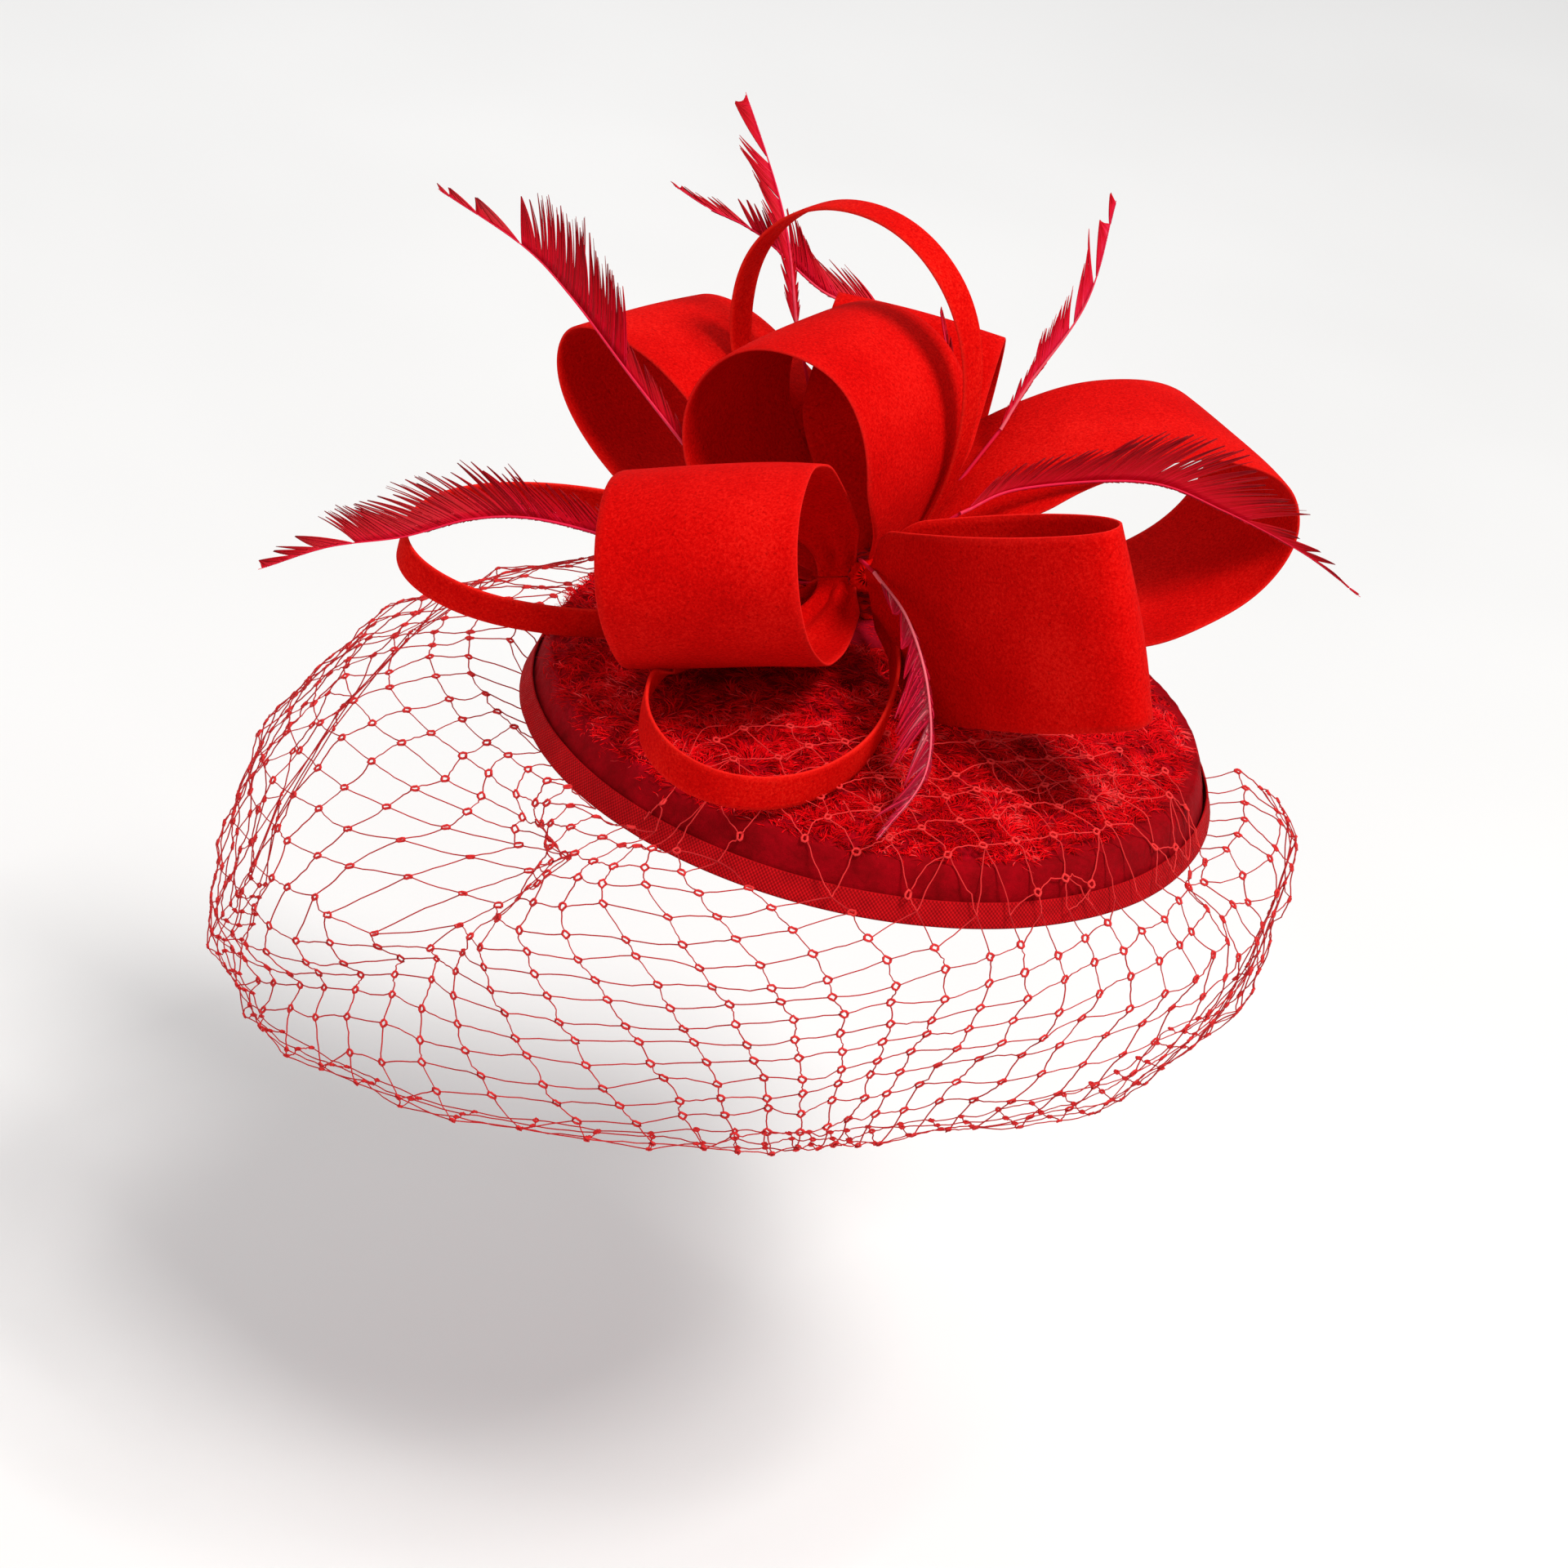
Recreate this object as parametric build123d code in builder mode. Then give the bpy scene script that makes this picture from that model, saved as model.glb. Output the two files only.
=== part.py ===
"""Disc fascinator: plush-covered dome, ribbon loops and rings, feathers, net veil and two hair clips.

Millimetres, +Z up, the wearer's face towards -Y.  The origin is the centre of the
underside opening, in the plane of the rim.
"""
import os
from math import asin, cos, pi, radians, sin, sqrt

from build123d import *

os.makedirs("parts", exist_ok=True)

# ---------------------------------------------------------------- driving dimensions
EDGE_R = 116.6          # outer radius of the cover where its side reaches the rim plane
WALL_SLOPE = 0.31       # how far the side wall leans in per millimetre of height
SHOULDER_Z = 17.6       # height where the side wall turns into the crown
CROWN_TOP = 24.4        # height of the cover at the centre
HEM_Z = 1.7             # lower edge of shell, cover and lining

COVER_T = 2.25          # plush cover
SHELL_T = 1.6           # stiff shell
LINING_T = 0.8
LAYER_GAP = 0.05

WIRE_R = 0.6
WIRE_RING_R = 113.4
WIRE_Z = 0.9

BINDING_R = 118.0       # widest radius of the bound edge
BINDING_T = 1.1
BINDING_H = 12.0        # height of its outer face above the rim plane
BINDING_INNER_H = 8.0

KNOT = Vector(-12, 42, 39)      # centre of the bound ribbons
KNOT_R = 20.4
STACK = Vector(0, -0.883, 0.469)        # way the upper loops are stacked on the lower ones
STACK_LEN = 31.0
STACK_R = 12.4
KNOT_CLEAR = 0.6

RIBBON_T = 1.2
PATCH_R = 24.0
PATCH_T = 1.5

CLIP_X = 70.0           # clips sit this far left and right of the centre
CLIP_W = 9.0
CLIP_SHEET = 0.8
PIN_R = 0.85
PIN_BORE_R = 0.90

FEATHER_T = 0.8

VEIL_T = 1.0
VEIL_OPEN_FROM = 15.0   # the veil is open at the back between these two azimuths
VEIL_OPEN_TO = 130.0


def save(part, label):
    """Name one finished piece and write it."""
    part.label = label
    export_step(part, f"parts/{label}.step")


# ---------------------------------------------------------------- base
def wall_r(z, inset):
    """Radius of the side wall at height z, for a layer set in by inset."""
    return EDGE_R - WALL_SLOPE * z - inset


def crown_radius(inset):
    """Radius of the big sphere that caps one dome surface."""
    rise = CROWN_TOP - SHOULDER_Z
    return (wall_r(SHOULDER_Z - inset, inset) ** 2 + rise ** 2) / (2 * rise)


def dome_points(inset):
    """Shoulder, middle and top of one dome surface in half section."""
    shoulder = (wall_r(SHOULDER_Z - inset, inset), SHOULDER_Z - inset)
    top = CROWN_TOP - inset
    big_r = crown_radius(inset)
    half = asin(shoulder[0] / big_r) / 2
    mid = (big_r * sin(half), top - big_r * (1 - cos(half)))
    return shoulder, mid, (0, top)


def dome_layer(outer_inset, thickness, shoulder_fillet):
    """One layer of the dome, open underneath."""
    with BuildPart() as layer:
        for inset, mode in ((outer_inset, Mode.ADD), (outer_inset + thickness, Mode.SUBTRACT)):
            shoulder, mid, top = dome_points(inset)
            hem = (wall_r(HEM_Z, inset), HEM_Z)
            with BuildSketch(Plane.XZ):
                with BuildLine():
                    Line((0, HEM_Z), hem)
                    Line(hem, shoulder)
                    ThreePointArc(shoulder, mid, top)
                    Line(top, (0, HEM_Z))
                make_face()
            revolve(axis=Axis.Z, mode=mode)
        rims = [e for e in layer.edges().filter_by(GeomType.CIRCLE) if e.center().Z > HEM_Z + 1]
        fillet(rims, shoulder_fillet)
    return layer.part


save(dome_layer(0, COVER_T, 3.5), "crown_cover")
SHELL_INSET = COVER_T + LAYER_GAP
save(dome_layer(SHELL_INSET, SHELL_T, 3.5), "base_shell")
LINING_INSET = SHELL_INSET + SHELL_T + LAYER_GAP
save(dome_layer(LINING_INSET, LINING_T, 3.5), "lining")

with BuildPart() as brim_wire:
    with BuildSketch(Plane.XZ):
        with Locations((WIRE_RING_R, WIRE_Z)):
            Circle(WIRE_R)
    revolve(axis=Axis.Z)
save(brim_wire.part, "brim_wire")

# woven ribbon folded round the edge: tall outer face, lower inner face
FOLD_Z = 0.2
INNER_FACE = LINING_INSET + LINING_T + 0.1
TOP_LEAN = 2.4
with BuildPart() as brim_binding:
    with BuildSketch(Plane.XZ):
        with BuildLine():
            Polyline(
                (BINDING_R, FOLD_Z - BINDING_T),
                (BINDING_R - TOP_LEAN, BINDING_H),
                (BINDING_R - TOP_LEAN - BINDING_T, BINDING_H),
                (BINDING_R - BINDING_T, FOLD_Z),
                (wall_r(FOLD_Z, INNER_FACE), FOLD_Z),
                (wall_r(BINDING_INNER_H, INNER_FACE), BINDING_INNER_H),
                (wall_r(BINDING_INNER_H, INNER_FACE + BINDING_T), BINDING_INNER_H),
                (wall_r(FOLD_Z, INNER_FACE + BINDING_T), FOLD_Z - BINDING_T),
                close=True,
            )
        make_face()
    revolve(axis=Axis.Z)
save(brim_binding.part, "brim_binding")


# ---------------------------------------------------------------- hair clips
# Each clip is drawn in its own side view: a runs along the clip towards the jaw tip,
# c runs from the lining down towards the hair.
LINING_TOP = CROWN_TOP - LINING_INSET - LINING_T
LINING_R = crown_radius(LINING_INSET + LINING_T)
CLIP_TILT = asin(CLIP_X / LINING_R)
CLIP_Z = LINING_TOP - LINING_R * (1 - cos(CLIP_TILT))

PAD_C = 0.6
PAD_T = 1.5
PLATE_C = PAD_C + PAD_T + 0.05
PLATE_TOP = PLATE_C + CLIP_SHEET
PIN_C = PLATE_TOP + 2.4
JAW_END = 30.0
EAR_Y = CLIP_W / 2 - CLIP_SHEET
LEVER_W = 2 * EAR_Y - 0.2


def clip_plane(side):
    """Side view of the clip on the +X side (side=1) or the -X side (side=-1)."""
    along = (side * cos(CLIP_TILT), 0, -sin(CLIP_TILT))
    return Plane(origin=(side * CLIP_X, 0, CLIP_Z), x_dir=along, z_dir=(0, side, 0))


for side, name in ((-1, "left"), (1, "right")):
    view = clip_plane(side)

    with BuildPart() as clip_pad:
        with BuildSketch(view):
            with Locations((7, PAD_C + PAD_T / 2)):
                Rectangle(50, PAD_T)
        extrude(amount=6.5, both=True)
        fillet(clip_pad.edges().filter_by(Axis((0, 0, 0), view.y_dir)), 4)
    save(clip_pad.part, f"clip_pad_{name}")

    with BuildPart() as clip_base:
        with BuildSketch(view):
            with Locations(((JAW_END - 15) / 2, PLATE_C + CLIP_SHEET / 2)):
                Rectangle(JAW_END + 15, CLIP_SHEET)
        extrude(amount=CLIP_W / 2, both=True)
        # two ears folded up beside the lever, drilled for the pin
        for ear in (-1, 1):
            with BuildSketch(view.offset(ear * (EAR_Y + CLIP_SHEET / 2))):
                with BuildLine():
                    foot = PLATE_TOP - 0.2
                    Polyline((-3.4, foot), (3.4, foot), (2.2, PIN_C), (-2.2, PIN_C), close=True)
                make_face()
                with Locations((0, PIN_C)):
                    Circle(2.2)
                with Locations((0, PIN_C)):
                    Circle(PIN_R + 0.02, mode=Mode.SUBTRACT)
            extrude(amount=CLIP_SHEET / 2, both=True)
    save(clip_base.part, f"clip_base_{name}")

    with BuildPart() as clip_lever:
        with BuildSketch(view):
            with BuildLine():
                Polyline(
                    (-12.6, PIN_C + 7.3),
                    (-1.6, PIN_C + 2.0),
                    (2.0, PIN_C + 2.0),
                    (JAW_END - 2, PLATE_TOP + 0.1),
                    (JAW_END + 0.6, PLATE_TOP + 0.1),
                    (JAW_END + 0.6, PLATE_TOP + 0.1 + CLIP_SHEET),
                    (JAW_END - 1.9, PLATE_TOP + 0.1 + CLIP_SHEET),
                    (2.2, PIN_C + 2.0 + CLIP_SHEET),
                    (-1.5, PIN_C + 2.0 + CLIP_SHEET),
                    (-12.9, PIN_C + 8.05),
                    close=True,
                )
            make_face()
        extrude(amount=LEVER_W / 2, both=True)
        for ear in (-1, 1):
            with BuildSketch(view.offset(ear * (LEVER_W - CLIP_SHEET) / 2)):
                with BuildLine():
                    Polyline((-2.0, PIN_C), (2.0, PIN_C), (2.0, PIN_C + 2.2), (-2.0, PIN_C + 2.3), close=True)
                make_face()
                with Locations((0, PIN_C)):
                    Circle(2.0)
                with Locations((0, PIN_C)):
                    Circle(PIN_BORE_R, mode=Mode.SUBTRACT)
            extrude(amount=CLIP_SHEET / 2, both=True)
    save(clip_lever.part, f"clip_lever_{name}")

    with BuildPart() as clip_pin:
        with BuildSketch(view):
            with Locations((0, PIN_C)):
                Circle(PIN_R)
        extrude(amount=CLIP_W / 2 + 0.4, both=True)
        for end in (-1, 1):
            with BuildSketch(view.offset(end * (CLIP_W / 2 + 0.25))):
                with Locations((0, PIN_C)):
                    Circle(1.4)
            extrude(amount=0.2, both=True)
    save(clip_pin.part, f"clip_pin_{name}")

    # coil round the pin, drawn as a helix, with one leg resting on the base plate
    COIL_R = 1.35
    COIL_WIRE = 0.28
    coil_start = view.from_local_coords((0, PIN_C, -2.1))
    with BuildPart() as clip_spring:
        with BuildLine() as coil_path:
            Helix(pitch=0.84, height=4.2, radius=COIL_R, center=coil_start, direction=view.z_dir)
        with BuildSketch(Plane(origin=coil_path.line @ 0, z_dir=coil_path.line % 0)):
            Circle(COIL_WIRE)
        sweep(is_frenet=True)
    save(clip_spring.part, f"clip_spring_{name}")


# ---------------------------------------------------------------- trim centre
CROWN_R = crown_radius(0)


def crown_z(x, y):
    """Height of the cover above a point of the crown."""
    return CROWN_TOP - CROWN_R + sqrt(CROWN_R ** 2 - x ** 2 - y ** 2)


patch_up = Vector(KNOT.X, KNOT.Y, CROWN_R).normalized()
patch_foot = Vector(KNOT.X, KNOT.Y, crown_z(KNOT.X, KNOT.Y) + 0.03)
patch_plane = Plane(origin=patch_foot, z_dir=patch_up)
with BuildPart() as trim_patch:
    with BuildSketch(patch_plane):
        Circle(PATCH_R)
    extrude(amount=PATCH_T)
save(trim_patch.part, "trim_patch")


def bound_centre(grow=0.0):
    """Ball at the knot with a narrower neck reaching up through the stacked loops."""
    ball, neck = KNOT_R + grow, STACK_R + grow
    shoulder = sqrt(ball ** 2 - neck ** 2)
    side = Plane(origin=KNOT, x_dir=(1, 0, 0), z_dir=Vector(1, 0, 0).cross(STACK))
    with BuildPart() as centre:
        with BuildSketch(side):
            with BuildLine():
                ThreePointArc((0, -ball), (ball, 0), (neck, shoulder))
                Line((neck, shoulder), (neck, STACK_LEN))
                ThreePointArc((neck, STACK_LEN), (neck * cos(pi / 4), STACK_LEN + neck * sin(pi / 4)),
                              (0, STACK_LEN + neck))
                Line((0, STACK_LEN + neck), (0, -ball))
            make_face()
        revolve(axis=Axis(KNOT, STACK))
    return centre.part


with BuildPart() as bow_knot:
    add(bound_centre())
    split(bisect_by=patch_plane.offset(PATCH_T + 0.05), keep=Keep.TOP)
save(bow_knot.part, "bow_knot")


# ---------------------------------------------------------------- ribbon loops
def ribbon_frame(azimuth, elevation, roll):
    """Directions out of the knot (reach), across the band (width) and round it (rise)."""
    a, e, r = radians(azimuth), radians(elevation), radians(roll)
    out = Vector(cos(a) * cos(e), sin(a) * cos(e), sin(e))
    level = Vector(-sin(a), cos(a), 0)
    up = out.cross(level)
    return out, level * cos(r) + up * sin(r), up * cos(r) - level * sin(r)


def ease(x):
    x = min(max(x, 0.0), 1.0)
    return x * x * (3 - 2 * x)


def loop_outline(reach, rise, drop, fullness, offset):
    """Side view of a ribbon that leaves the knot, turns back and returns to it."""
    points = []
    count = 17
    start = 0.06
    for i in range(count):
        t = 2 * pi * (start + (1 - 2 * start) * i / (count - 1))

        def at(t):
            s = (1 - cos(t)) / 2
            side = rise if t < pi else drop
            return reach * s, side * sin(t) * s ** fullness

        (x0, y0), (x1, y1), (x, y) = at(t - 0.01), at(t + 0.01), at(t)
        dx, dy = x1 - x0, y1 - y0
        size = sqrt(dx * dx + dy * dy)
        points.append((x - offset * dy / size, y + offset * dx / size))
    return points


def ribbon_loop(azimuth, elevation, roll, reach, rise, drop, width, fullness,
                stack=0.0, shift=0.0, taper=0.35, tip=0.3, filled=False):
    """One loop of ribbon, narrowed towards the knot and cut clear of it.

    filled=True gives the space the loop encloses, with the band's own thickness.
    """
    out, across, up = ribbon_frame(azimuth, elevation, roll)
    root = KNOT + STACK * stack
    side_view = Plane(origin=root, x_dir=out, z_dir=-across)
    plan_view = Plane(origin=root, x_dir=out, z_dir=up)
    slack = 0.15 if filled else 0
    outer = loop_outline(reach, rise, drop, fullness, RIBBON_T / 2 + slack)
    inner = loop_outline(reach, rise, drop, fullness, -RIBBON_T / 2)
    with BuildPart() as loop:
        with BuildSketch(side_view):
            with BuildLine():
                Spline(*outer)
                if filled:
                    Line(outer[-1], outer[0])
                else:
                    Line(outer[-1], inner[-1])
                    Spline(*reversed(inner))
                    Line(inner[0], outer[0])
            make_face()
        extrude(amount=width / 2 + abs(shift) + slack, both=True)
        # plan shape: narrow at the knot, full width further out
        with BuildSketch(plan_view):
            with BuildLine():
                edges = []
                for sign in (1, -1):
                    edge = [(-6, tip * (shift + sign * (width / 2 + slack)))]
                    for i in range(6):
                        s = taper * i / 5
                        grow = tip + (1 - tip) * ease(s / taper)
                        edge.append((reach * s, grow * (shift + sign * (width / 2 + slack))))
                    edge.append((reach + 3, shift + sign * (width / 2 + slack)))
                    edges.append(edge)
                Polyline(*edges[0], *reversed(edges[1]), close=True)
            make_face()
        extrude(amount=90, both=True, mode=Mode.INTERSECT)
        add(bound_centre(KNOT_CLEAR), mode=Mode.SUBTRACT)
    return loop.part


# azimuth and elevation point out of the knot, roll turns the band about that direction,
# stack says how far up the pile of loops the band starts
RIBBONS = {
    "loop_front_left": dict(azimuth=-103, elevation=25, roll=19, reach=113, rise=38, drop=36,
                            width=65, fullness=0.22, stack=22, shift=-33, taper=0.5),
    "loop_front_right": dict(azimuth=-43, elevation=18.5, roll=95, reach=118, rise=10, drop=11,
                             width=65, fullness=0.53, stack=STACK_LEN, taper=0.37),
    "loop_right": dict(azimuth=29.5, elevation=14, roll=-2.5, reach=148, rise=45, drop=39,
                       width=66, fullness=0.32, stack=-6, shift=-2, taper=0.38),
    "loop_centre": dict(azimuth=154, elevation=64, roll=-1.5, reach=90, rise=45, drop=44,
                        width=64, fullness=0.33, stack=2, shift=5, taper=0.46),
    "loop_left": dict(azimuth=144, elevation=18.5, roll=0, reach=133, rise=28, drop=32,
                      width=62, fullness=0.4, stack=-9, taper=0.42),
    "loop_back": dict(azimuth=83, elevation=55, roll=2.5, reach=94, rise=17.5, drop=40,
                      width=59, fullness=0.23, stack=-7, shift=7, taper=0.57),
    "ring_top": dict(azimuth=152.5, elevation=66, roll=-7, reach=127, rise=59, drop=58,
                     width=11, fullness=0.23, stack=-6, shift=-14, taper=0.8),
    "ring_left": dict(azimuth=200, elevation=0.5, roll=73, reach=162, rise=38, drop=39,
                      width=12, fullness=0.5, stack=-6),
    "ring_front": dict(azimuth=-104, elevation=-4.5, roll=88, reach=151, rise=45, drop=45,
                       width=12, fullness=0.35, stack=4),
}
# where one ribbon leans on another it is tucked in clear of it
TUCKED = {"loop_left": "loop_centre", "ring_top": "loop_left", "ring_front": "loop_front_left"}

finished = {}
for label, shape in RIBBONS.items():
    with BuildPart() as ribbon:
        add(ribbon_loop(**shape))
        if label in TUCKED:
            add(ribbon_loop(**RIBBONS[TUCKED[label]], filled=True), mode=Mode.SUBTRACT)
    finished[label] = max(ribbon.solids(), key=lambda solid: solid.volume)
    save(finished[label], label)


# ---------------------------------------------------------------- feathers
def feather(label, root, tip, vane_side, bow, width, beside=()):
    """Curved blade: a quill from root to tip with its vane on one side.

    beside names the ribbons it lies against, which it is cut clear of.
    """
    root, tip, vane_side = Vector(*root), Vector(*tip), Vector(*vane_side)
    chord = tip - root
    along = chord.normalized()
    vane = (vane_side - along * vane_side.dot(along)).normalized()
    flat = Plane(origin=root, x_dir=along, z_dir=along.cross(vane))
    length = chord.length
    with BuildPart() as blade:
        with BuildSketch(flat):
            with BuildLine():
                ThreePointArc((0, -0.6), (length / 2, bow - 0.6), (length, -0.3))
                Line((length, -0.3), (length, 0.3))
                Spline((length, 0.3), (length * 0.75, bow * 0.75 + width * 0.6), (length * 0.4, bow + width),
                       (length * 0.15, bow * 0.5 + width * 0.3), (0, 0.8))
                Line((0, 0.8), (0, -0.6))
            make_face()
        extrude(amount=FEATHER_T / 2, both=True)
        for ribbon_label in beside:
            add(finished[ribbon_label], mode=Mode.SUBTRACT)
    save(max(blade.solids(), key=lambda solid: solid.volume), label)


feather("feather_upper_left", (-78, 58, 62), (-182, 84, 127), (0.5, 0, 1), -6, 16)
feather("feather_left", (-104, 4, 52), (-208, -26, 27), (-0.2, 0, 1), 11, 12)
feather("feather_top", (-54, 103, 99), (-88, 127, 169), (-1, 0, 0.3), -3, 10)
feather("feather_top_second", (-43, 112, 113), (-106, 124, 132), (0.2, 0, 1), 4, 12)
feather("feather_right", (22, 78, 88), (43, 104, 168), (-1, 0, 0), -3, 8)
feather("feather_over_right_loop", (16, 34, 78), (151, 36, 75), (0, 0, 1), 18, 13)
feather("feather_front", (5, -6, 43), (8, -110, 22), (-1, 0, 0.3), -10, 12,
        beside=("ring_front", "loop_front_right"))
feather("feather_small_back", (6, 66, 98), (-7, 80, 125), (1, 0, 0.3), 2, 6)


# ---------------------------------------------------------------- veil
# outline of the net at a few heights: centre x, half width in x, half depth in y
VEIL_LEVELS = ((6, 0, 119.5, 119.5), (0, -5, 143, 131), (-12, -11, 165, 140), (-45, -26, 173, 147),
               (-85, -44, 167, 147), (-140, -54, 154, 147))
with BuildPart() as veil:
    for z, cx, rx, ry in VEIL_LEVELS:
        with BuildSketch(Plane.XY.offset(z)):
            with Locations((cx, 0)):
                Ellipse(rx, ry)
    loft(ruled=True)
    # the inner surface is the outer one moved in and down, and run out at the top
    for z, cx, rx, ry in ((10, 0, 118.0, 118.0), *VEIL_LEVELS):
        with BuildSketch(Plane.XY.offset(z - VEIL_T)):
            with Locations((cx, 0)):
                Ellipse(rx - VEIL_T, ry - VEIL_T)
    loft(ruled=True, mode=Mode.SUBTRACT)
    # open at the back, and a hem that hangs lower on the left
    with BuildSketch(Plane.XY.offset(-150)):
        with BuildLine():
            a0, a1 = radians(VEIL_OPEN_FROM), radians(VEIL_OPEN_TO)
            one_side = (400 * cos(a0), 400 * sin(a0))
            other_side = (400 * cos(a1), 400 * sin(a1))
            Polyline((0, 0), one_side, (0, 500), other_side, close=True)
        make_face()
    extrude(amount=170, mode=Mode.SUBTRACT)
    hem = Plane(origin=(0, 0, -90), z_dir=(-0.17, 0.1, 1))
    split(bisect_by=hem, keep=Keep.TOP)
save(veil.part, "veil")
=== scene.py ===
"""Looks for the disc fascinator: plush dome, ribbon loops and rings, feathers, net veil and hair clips.

Shapes are in millimetres until a mesh is made; camera, lights and sheet sizes are in metres.
The frame is the CAD frame.
"""
import math

import bpy
import numpy as np
from mathutils import Matrix, Vector


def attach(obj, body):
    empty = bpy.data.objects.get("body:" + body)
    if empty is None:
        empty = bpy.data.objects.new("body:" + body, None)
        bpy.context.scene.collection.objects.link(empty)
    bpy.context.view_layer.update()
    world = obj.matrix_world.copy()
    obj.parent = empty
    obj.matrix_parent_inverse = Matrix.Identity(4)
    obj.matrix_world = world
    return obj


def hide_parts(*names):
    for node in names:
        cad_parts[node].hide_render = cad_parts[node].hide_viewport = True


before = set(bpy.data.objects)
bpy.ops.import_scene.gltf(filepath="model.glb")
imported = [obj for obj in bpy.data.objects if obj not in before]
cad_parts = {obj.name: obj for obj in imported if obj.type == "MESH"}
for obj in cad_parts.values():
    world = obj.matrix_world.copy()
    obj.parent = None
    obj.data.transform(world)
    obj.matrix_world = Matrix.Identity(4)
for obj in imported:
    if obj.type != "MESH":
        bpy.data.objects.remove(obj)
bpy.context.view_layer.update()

MM = 0.001
TAU = 2 * math.pi
rng = np.random.default_rng(11)


# ---------------------------------------------------------------- small helpers
def ease(x):
    """0 below 0, 1 above 1, and a smooth climb between."""
    x = np.clip(x, 0.0, 1.0)
    return x * x * (3 - 2 * x)


def unit(v):
    """The vector or vectors at length 1."""
    v = np.asarray(v, float)
    return v / np.maximum(np.linalg.norm(v, axis=-1, keepdims=True), 1e-9)


def round_angles(count):
    """Evenly spaced angles round a full turn."""
    return np.arange(count) * TAU / count


def polar(r, angle, z=0.0):
    """Points at these radii, angles and heights."""
    r, angle, z = np.broadcast_arrays(*(np.asarray(v, float) for v in (r, angle, z)))
    return np.stack([r * np.cos(angle), r * np.sin(angle), z], -1)


def distance_run(path):
    """Distance along a path from its start to each of its points."""
    return np.concatenate([[0], np.cumsum(np.linalg.norm(np.diff(path, axis=0), axis=1))])


def sample(at, keys, path):
    """Points of a path where its keys have these values."""
    return np.stack([np.interp(at, keys, path[:, k]) for k in range(path.shape[1])], -1)


def waves(seed, count, low, high):
    """A smooth random field over 3-D points: a sum of plane waves with these wavelengths in mm."""
    r = np.random.default_rng(seed)
    ways = unit(r.normal(size=(count, 3)))
    k = TAU / r.uniform(low, high, count)
    phase = r.uniform(0, TAU, count)

    def field(points):
        return np.sin((points @ ways.T) * k + phase).sum(-1) / math.sqrt(count)
    return field


def make_mesh(name, verts, quads=(), tris=(), **attributes):
    """A smooth-shaded mesh object; each attribute is a number or a vector for every vertex."""
    quads = np.asarray(quads, np.int32).reshape(-1, 4)
    tris = np.asarray(tris, np.int32).reshape(-1, 3)
    mesh = bpy.data.meshes.new(name)
    mesh.vertices.add(len(verts))
    mesh.vertices.foreach_set("co", (np.asarray(verts, np.float64) * MM).astype(np.float32).ravel())
    mesh.loops.add(quads.size + tris.size)
    mesh.loops.foreach_set("vertex_index", np.concatenate([quads.ravel(), tris.ravel()]))
    mesh.polygons.add(len(quads) + len(tris))
    starts = np.concatenate([np.arange(len(quads)) * 4, quads.size + np.arange(len(tris)) * 3])
    mesh.polygons.foreach_set("loop_start", starts.astype(np.int32))
    mesh.polygons.foreach_set("use_smooth", np.full(len(starts), True))
    mesh.update(calc_edges=True)
    mesh.validate()
    for key, value in attributes.items():
        value = np.asarray(value, np.float32)
        kind = "FLOAT" if value.ndim == 1 else "FLOAT_VECTOR"
        layer = mesh.attributes.new(key, kind, "POINT")
        layer.data.foreach_set("value" if value.ndim == 1 else "vector", value.ravel())
    obj = bpy.data.objects.new(name, mesh)
    bpy.context.scene.collection.objects.link(obj)
    return obj


def grid_quads(rows, cols, closed=False, flip=False):
    """Faces of a grid of vertices; a closed one joins its last column to its first, flip turns them over."""
    i, j = np.meshgrid(np.arange(rows - 1), np.arange(cols if closed else cols - 1), indexing="ij")
    k = (j + 1) % cols
    quads = np.stack([i * cols + j, (i + 1) * cols + j, (i + 1) * cols + k, i * cols + k], -1)
    quads = quads.reshape(-1, 4)
    return np.roll(quads[:, ::-1], 1, axis=1) if flip else quads


class Heap:
    """Collects many small pieces of geometry into one mesh."""

    def __init__(self):
        self.verts, self.quads, self.tris, self.tone, self.count = [], [], [], [], 0

    def add(self, verts, quads, tris, tone):
        """Adds one piece; its faces count its own vertices from 0."""
        verts = np.asarray(verts, float).reshape(-1, 3)
        self.quads.append(np.asarray(quads).reshape(-1, 4) + self.count)
        self.tris.append(np.asarray(tris).reshape(-1, 3) + self.count)
        self.verts.append(verts)
        self.tone.append(tone)
        self.count += len(verts)

    def tube(self, path, radius, sides, tone):
        """A round thread along a path, closed at both ends."""
        path = np.asarray(path, float)
        n = len(path)
        radius = np.broadcast_to(np.asarray(radius, float), (n,))
        along = unit(np.gradient(path, axis=0))
        ref = np.array([0.0, 0.0, 1.0]) if abs(along[:, 2]).mean() < 0.8 else np.array([1.0, 0.0, 0.0])
        side = unit(np.cross(along, ref))
        up = np.cross(side, along)
        a = round_angles(sides)
        ring = side[:, None] * np.cos(a)[None, :, None] + up[:, None] * np.sin(a)[None, :, None]
        verts = path[:, None] + ring * radius[:, None, None]
        last = (n - 1) * sides
        caps = [(0, k + 1, k) for k in range(1, sides - 1)]
        caps += [(last, last + k, last + k + 1) for k in range(1, sides - 1)]
        tone = np.repeat(np.broadcast_to(tone, (n,)), sides)
        self.add(verts, grid_quads(n, sides, closed=True), caps, tone)

    def build(self, name):
        """The whole heap as one object."""
        verts, quads, tris, tone = (np.concatenate(v) for v in (self.verts, self.quads, self.tris, self.tone))
        return make_mesh(name, verts, quads, tris, tone=tone)


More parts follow.
